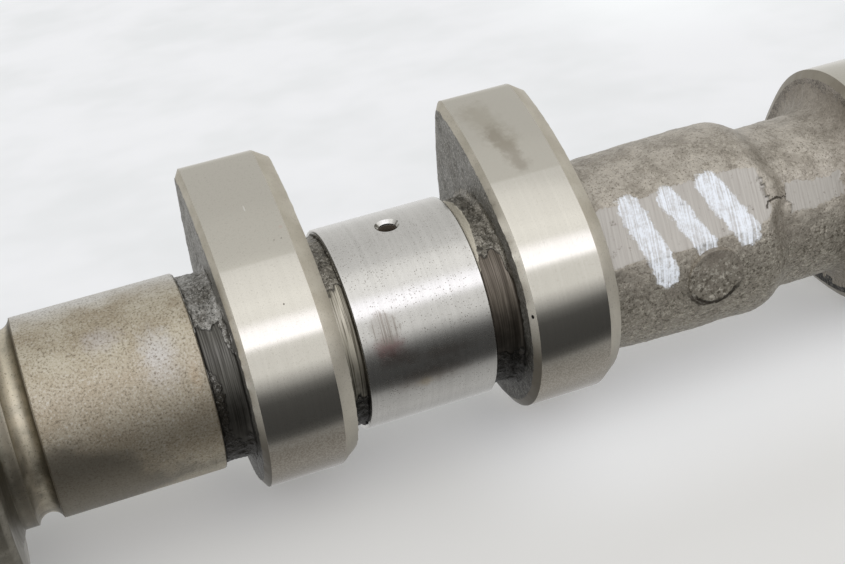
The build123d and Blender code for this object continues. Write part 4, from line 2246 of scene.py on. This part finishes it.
@dataclass
class Studio:
    """Pale floor, soft surrounding light and the camera."""

    camera_place: tuple = (19.4974, -153.5756, 80.7090)
    camera_aim: tuple = (0.23390961, 0.86729425, -0.43941665)
    camera_up: tuple = (0.26939038, 0.37644554, 0.88640712)
    focal: float = 64.37
    sensor: float = 36.0
    clip: tuple = (0.005, 20.0)
    backdrop: tuple = rgb(243, 246, 246)
    cool: float = 1.07
    cool_from: float = 1.5
    light_by_turn: tuple = (
        (0, 0.91), (15, 0.81), (55, 0.73), (73, 0.74), (76, 0.78), (92, 0.82),
        (97, 1.02), (112, 1.18), (126, 1.14), (133, 1.62), (146, 1.86), (151, 0.94),
        (157, 0.90), (172, 0.92), (181, 0.53), (190, 0.18), (198, 0.085), (210, 0.07),
        (227, 0.062), (235, 0.11), (242, 0.38), (252, 0.46), (275, 0.56), (290, 0.50),
        (310, 0.52), (330, 0.70), (345, 0.86),
    )
    floor_size: float = 4.0
    floor_shift: float = 0.08
    floor_pale: tuple = rgb(203, 205, 205)
    floor_dull: tuple = rgb(213, 214, 215)
    # painted light: a paler patch of floor behind the shaft
    floor_back_light: tuple = rgb(232, 235, 235)
    # painted shadow: a darker strip of floor in front of and under the shaft
    floor_front_shadow: tuple = rgb(196, 195, 191)
    floor_right: tuple = rgb(231, 232, 232)
    floor_glow: float = 0.2

    def place_camera(self) -> None:
        """Sets up the camera that looks at the near cylinder's end of the shaft."""
        data = bpy.data.cameras.new("camera")
        data.sensor_width = self.sensor
        data.lens = self.focal
        data.clip_start, data.clip_end = self.clip
        camera = bpy.data.objects.new("camera", data)
        bpy.context.scene.collection.objects.link(camera)
        aim, up = Vector(self.camera_aim), Vector(self.camera_up)
        right = aim.cross(up).normalized()
        turned = Matrix((right, right.cross(aim).normalized(), -aim.normalized())).transposed()
        place = Matrix.Translation(Vector(self.camera_place) * MM)
        camera.matrix_world = place @ turned.to_4x4()
        bpy.context.scene.camera = camera

    def light(self) -> None:
        """Surrounds the shaft with soft light that changes with the turn about it."""
        world = bpy.data.worlds.new("studio")
        bpy.context.scene.world = world
        world.use_nodes = True
        wires = Wiring(world.node_tree)
        _, y, z = wires.split(wires.out("TexCoord", key="Generated"))
        share = (z * -1.0).math("ARCTAN2", y * -1.0) / math.tau + 0.5
        ceiling = max(level for _, level in self.light_by_turn) * self.cool
        stops = []
        for turn, level in self.light_by_turn:
            blue = level * (self.cool if level > self.cool_from else 1.0)
            stops.append((turn / 360, (level / ceiling, level / ceiling, blue / ceiling, 1)))
        feeds = {"Color": wires.ramp(share, stops), "Strength": ceiling}
        light = wires.out("Background", feeds)
        plain = wires.out("Background", {"Color": self.backdrop, "Strength": 1.0})
        seen = wires.out("LightPath", key="Is Camera Ray")
        mixed = wires.out("MixShader", {0: seen, 1: light, 2: plain})
        wires.node("OutputWorld", {"Surface": mixed})

    def _floor_material(self) -> bpy.types.Material:
        """A pale matt floor whose tone changes with the place on it, with painted shadow in front of
        the shaft and painted light in a patch behind it.

        Returns:
            The material.
        """
        material = bpy.data.materials.new("floor")
        material.use_nodes = True
        wires = Wiring(material.node_tree)
        cloud = wires.pattern(wires.place(), 30.0)
        colour = cloud.span(0.35, 0.7).blend(self.floor_dull, self.floor_pale)
        x, y, _ = wires.split(wires.place())
        # painted light behind the shaft
        back = y.span(95.0, 150.0) * x.span(42.0, 82.0)
        colour = (back * 0.85).blend(colour, self.floor_back_light)
        # painted shadow in front of and under the shaft
        colour = y.span(15.0, -12.0).blend(colour, self.floor_front_shadow)
        right = x.span(-27.0, -2.0) * y.span(-36.0, -8.0) * y.span(60.0, 10.0)
        colour = right.blend(colour, self.floor_right)
        matt = wires.out("BsdfPrincipled", {"Base Color": colour, "Roughness": 0.8})
        strength = wires.out("LightPath", key="Is Camera Ray") * self.floor_glow
        glow = wires.out("Emission", {"Color": rgb(255, 255, 255), "Strength": strength})
        wires.node("OutputMaterial", {"Surface": wires.out("AddShader", {0: matt, 1: glow})})
        return material

    def lay_floor(self) -> None:
        """Lays a pale floor under the shaft."""
        low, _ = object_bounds()
        bpy.ops.object.select_all(action="DESELECT")
        place = (self.floor_shift, 0, low[2])
        bpy.ops.mesh.primitive_plane_add(size=self.floor_size, location=place)
        floor = bpy.context.object
        floor.name = "floor"
        floor.visible_glossy = False
        floor.data.materials.append(self._floor_material())
        floor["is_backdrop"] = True


# ---------------------------------------------------------------- the whole shaft


def drive_parts() -> list[ShaftPart]:
    """The sprocket's end, the drive journal and the neck past it.

    Returns:
        The parts in order along the shaft.
    """
    start, end = PLAN.drive_start, PLAN.drive_start + PLAN.drive_length
    face = VarnishedIron(
        marks=(
            Mark(28.7, 11.5, 140, 3.0, 5.0, rgb(206, 206, 207), 0.6, 0.9),
            Mark(23.4, 11.5, 121, 3.2, 2.2, rgb(182, 176, 176), 0.5, 0.9),
            Mark(31.8, 11.5, 155, 0.9, 2.6, rgb(206, 180, 146), 0.45, 0.9),
        )
    )
    # a darker copy of the neck skin beside the first lobe's near cheek; its dark turned tone is painted
    # shade
    skin = NeckSkin(
        "shaded_drive_neck_skin",
        pale=rgb(164, 162, 156),
        dull=rgb(116, 113, 106),
        low=rgb(56, 52, 45),
        grit=rgb(188, 187, 182),
        low_start=0.12,
        low_contrast=0.28,
        painted_shade=rgb(46, 43, 38),
        turned=rgb(109, 107, 101),
        turned_dull=rgb(66, 64, 59),
        painted_shade_start=0.25,
    )
    rims = (CastRim(True, 156, 215, 1.15), CastRim(False, 90, 147, 0.85))
    lobe = PLAN.lobe_faces(PLAN.lobe_centres(0)[0])[0]
    return [
        SprocketEnd(),
        Journal("drive_journal", start, end, 11.5, face),
        Neck("drive_neck", end, lobe, 10.8, 0.5, 0.8, skin, 167, 38, rims=rims),
    ]


@dataclass(frozen=True)
class LobeLooks:
    """The finishes of one cylinder's two lobes."""

    near_band: Finish
    far_band: Finish
    near_bevel: Finish
    far_bevel: Finish
    cheek: Finish


def near_looks() -> LobeLooks:
    """The looks of the lobes that are close to the camera.

    Returns:
        Nicked and smudged bands, and light bevels with a painted highlight and painted shade.
    """
    nicked = GroundIron(
        "lobe_ground_nicked",
        upper_shade_turn=115.0,
        marks=(
            Mark(42.6, 15.0, 136, 0.11, 0.11, rgb(92, 84, 76), 0.9, 0.5),
            Mark(42.2, 17.7, 90, 0.10, 0.55, rgb(236, 234, 228), 0.45, 0.5),
            Mark(44.0, 15.8, 107, 0.14, 0.08, rgb(96, 84, 76), 0.9, 0.4),
            Mark(44.8, 15.8, 107, 0.10, 0.10, rgb(84, 74, 66), 0.9, 0.4),
            Mark(45.2, 16.2, 102, 0.35, 0.35, rgb(196, 170, 158), 0.5, 0.9),
        ),
    )
    smudged = GroundIron(
        "lobe_ground_smudged",
        upper_shade_turn=108.7,
        film=rgb(184, 178, 167),
        underside_shade_dark=rgb(161, 154, 142),
        marks=(
            Smear((71.6, 20.4, 75.5), (73.2, 17.6, 91), 2.2, rgb(172, 166, 151), 0.55),
            Smear((72.4, 18.4, 86), (73.6, 16.2, 103), 1.3, rgb(152, 144, 130), 0.55),
        ),
    )
    bevel = BevelledEdge(
        "near_bevel",
        base=rgb(184, 178, 164),
        shade=rgb(170, 164, 149),
        low=rgb(80, 74, 63),
        low_turn=232.0,
        under_shade_share=0.9,
        highlight_turn=156.0,
        highlight_share=1.0,
        marks=(Mark(68.85, 14.5, 171.2, 0.16, 0.26, rgb(30, 27, 23), 1.0, 0.3),),
    )
    return LobeLooks(nicked, smudged, bevel, BevelledEdge(), CheekSkin())


def far_looks() -> LobeLooks:
    """The looks of the lobes that are far from the camera.

    Returns:
        Plain bands, and shaded bevels and cheeks.
    """
    bevel = BevelledEdge("shaded_bevel", base=rgb(142, 136, 123), shade=rgb(129, 122, 109))
    cheek = CheekSkin(
        "shaded_cheek_skin",
        pale=rgb(144, 137, 127),
        dull=rgb(118, 111, 101),
        low=rgb(34, 32, 29),
        low_turn=246.0,
        grit=rgb(180, 172, 160),
    )
    return LobeLooks(GroundIron(), GroundIron(), bevel, bevel, cheek)


def cylinder_parts(cylinder: int, looks: LobeLooks) -> list[ShaftPart]:
    """The two lobes of a cylinder, with the necks and the journal between them.

    Args:
        cylinder: 0 for the one near the sprocket, 1 for the other.
        looks: the finishes of its lobes.

    Returns:
        The parts in order along the shaft.
    """
    journal_face = GroundIron(
        "journal_ground",
        bright=rgb(208, 206, 201),
        grey=rgb(200, 198, 193),
        upper_shade_share=0.0,
        film=rgb(150, 146, 140),
        underside_shade_share=0.0,
        speck_share=0.65,
        speck_turn=155.0,
        rough=0.19,
        bore_radius=11.5,
        marks=(
            Mark(52.8, 12.0, 169.5, 2.6, 2.0, rgb(160, 127, 124), 0.8, 0.9),
            Mark(54.0, 12.0, 177, 3.4, 1.2, rgb(128, 108, 98), 0.45, 0.9),
            Mark(59.0, 12.0, 180, 5.0, 1.4, rgb(136, 121, 110), 0.35, 0.9),
            Mark(57.0, 12.0, 192, 7.0, 2.2, rgb(126, 112, 101), 0.5, 0.9),
            Mark(56.5, 12.0, 196, 1.6, 1.0, rgb(200, 184, 152), 0.35, 0.9),
        ),
        scratches=Mark(52.8, 12.0, 158.5, 1.9, 2.3, rgb(158, 151, 143), 0.85, 0.3),
    )
    light_skin = NeckSkin("light_neck_skin")
    # a darker copy of the neck skin for the necks beside the near cheek of each cylinder's second lobe;
    # painted shade
    shaded_skin = NeckSkin(
        "shaded_neck_skin",
        turned=rgb(128, 120, 109),
        turned_dull=rgb(86, 79, 70),
        painted_shade_start=0.2,
    )
    near, far = PLAN.lobe_centres(cylinder)
    nose, middle = PLAN.noses[cylinder], PLAN.cylinders[cylinder]
    start, end = PLAN.journal_ends(cylinder)
    near_face, far_face = PLAN.lobe_faces(near)[1], PLAN.lobe_faces(far)[0]
    number = cylinder + 1
    sides = (looks.near_bevel, looks.far_bevel, looks.cheek)
    rims = (CastRim(False, 110, 150, 0.5),)
    return [
        CamLobe(f"lobe_{2 * cylinder + 1}", near, nose, looks.near_band, *sides),
        Neck(f"neck_{number}a", near_face, start, 11.2, 0.7, 0.3, light_skin, 163, 34),
        Journal(f"journal_{number}", start, end, 12.0, journal_face, middle),
        Neck(f"neck_{number}b", end, far_face, 11.2, 0.4, 0.8, shaded_skin, 166, 32, rims, 98),
        CamLobe(f"lobe_{2 * cylinder + 2}", far, nose, looks.far_band, *sides),
    ]


def shaft_parts() -> list[ShaftPart]:
    """Every part of the casting in order from the sprocket to the free end."""
    cylinders = [*cylinder_parts(0, near_looks()), *cylinder_parts(1, far_looks())]
    return [*drive_parts(), *cylinders, Barrel(), GateStub(), FreeEnd()]


def main() -> None:
    """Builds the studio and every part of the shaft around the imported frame."""
    logging.basicConfig(level=logging.INFO, format="%(name)s: %(message)s")
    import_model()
    bpy.context.scene.view_settings.view_transform = "Standard"
    studio = Studio()
    studio.place_camera()
    studio.light()
    studio.lay_floor()
    for part in shaft_parts():
        part.dress(part.build())
    plug = bpy.data.objects[NODE_PLUG]
    plug.data.materials.clear()
    plug.data.materials.append(PlugSteel().material())


if __name__ == "__main__":
    main()
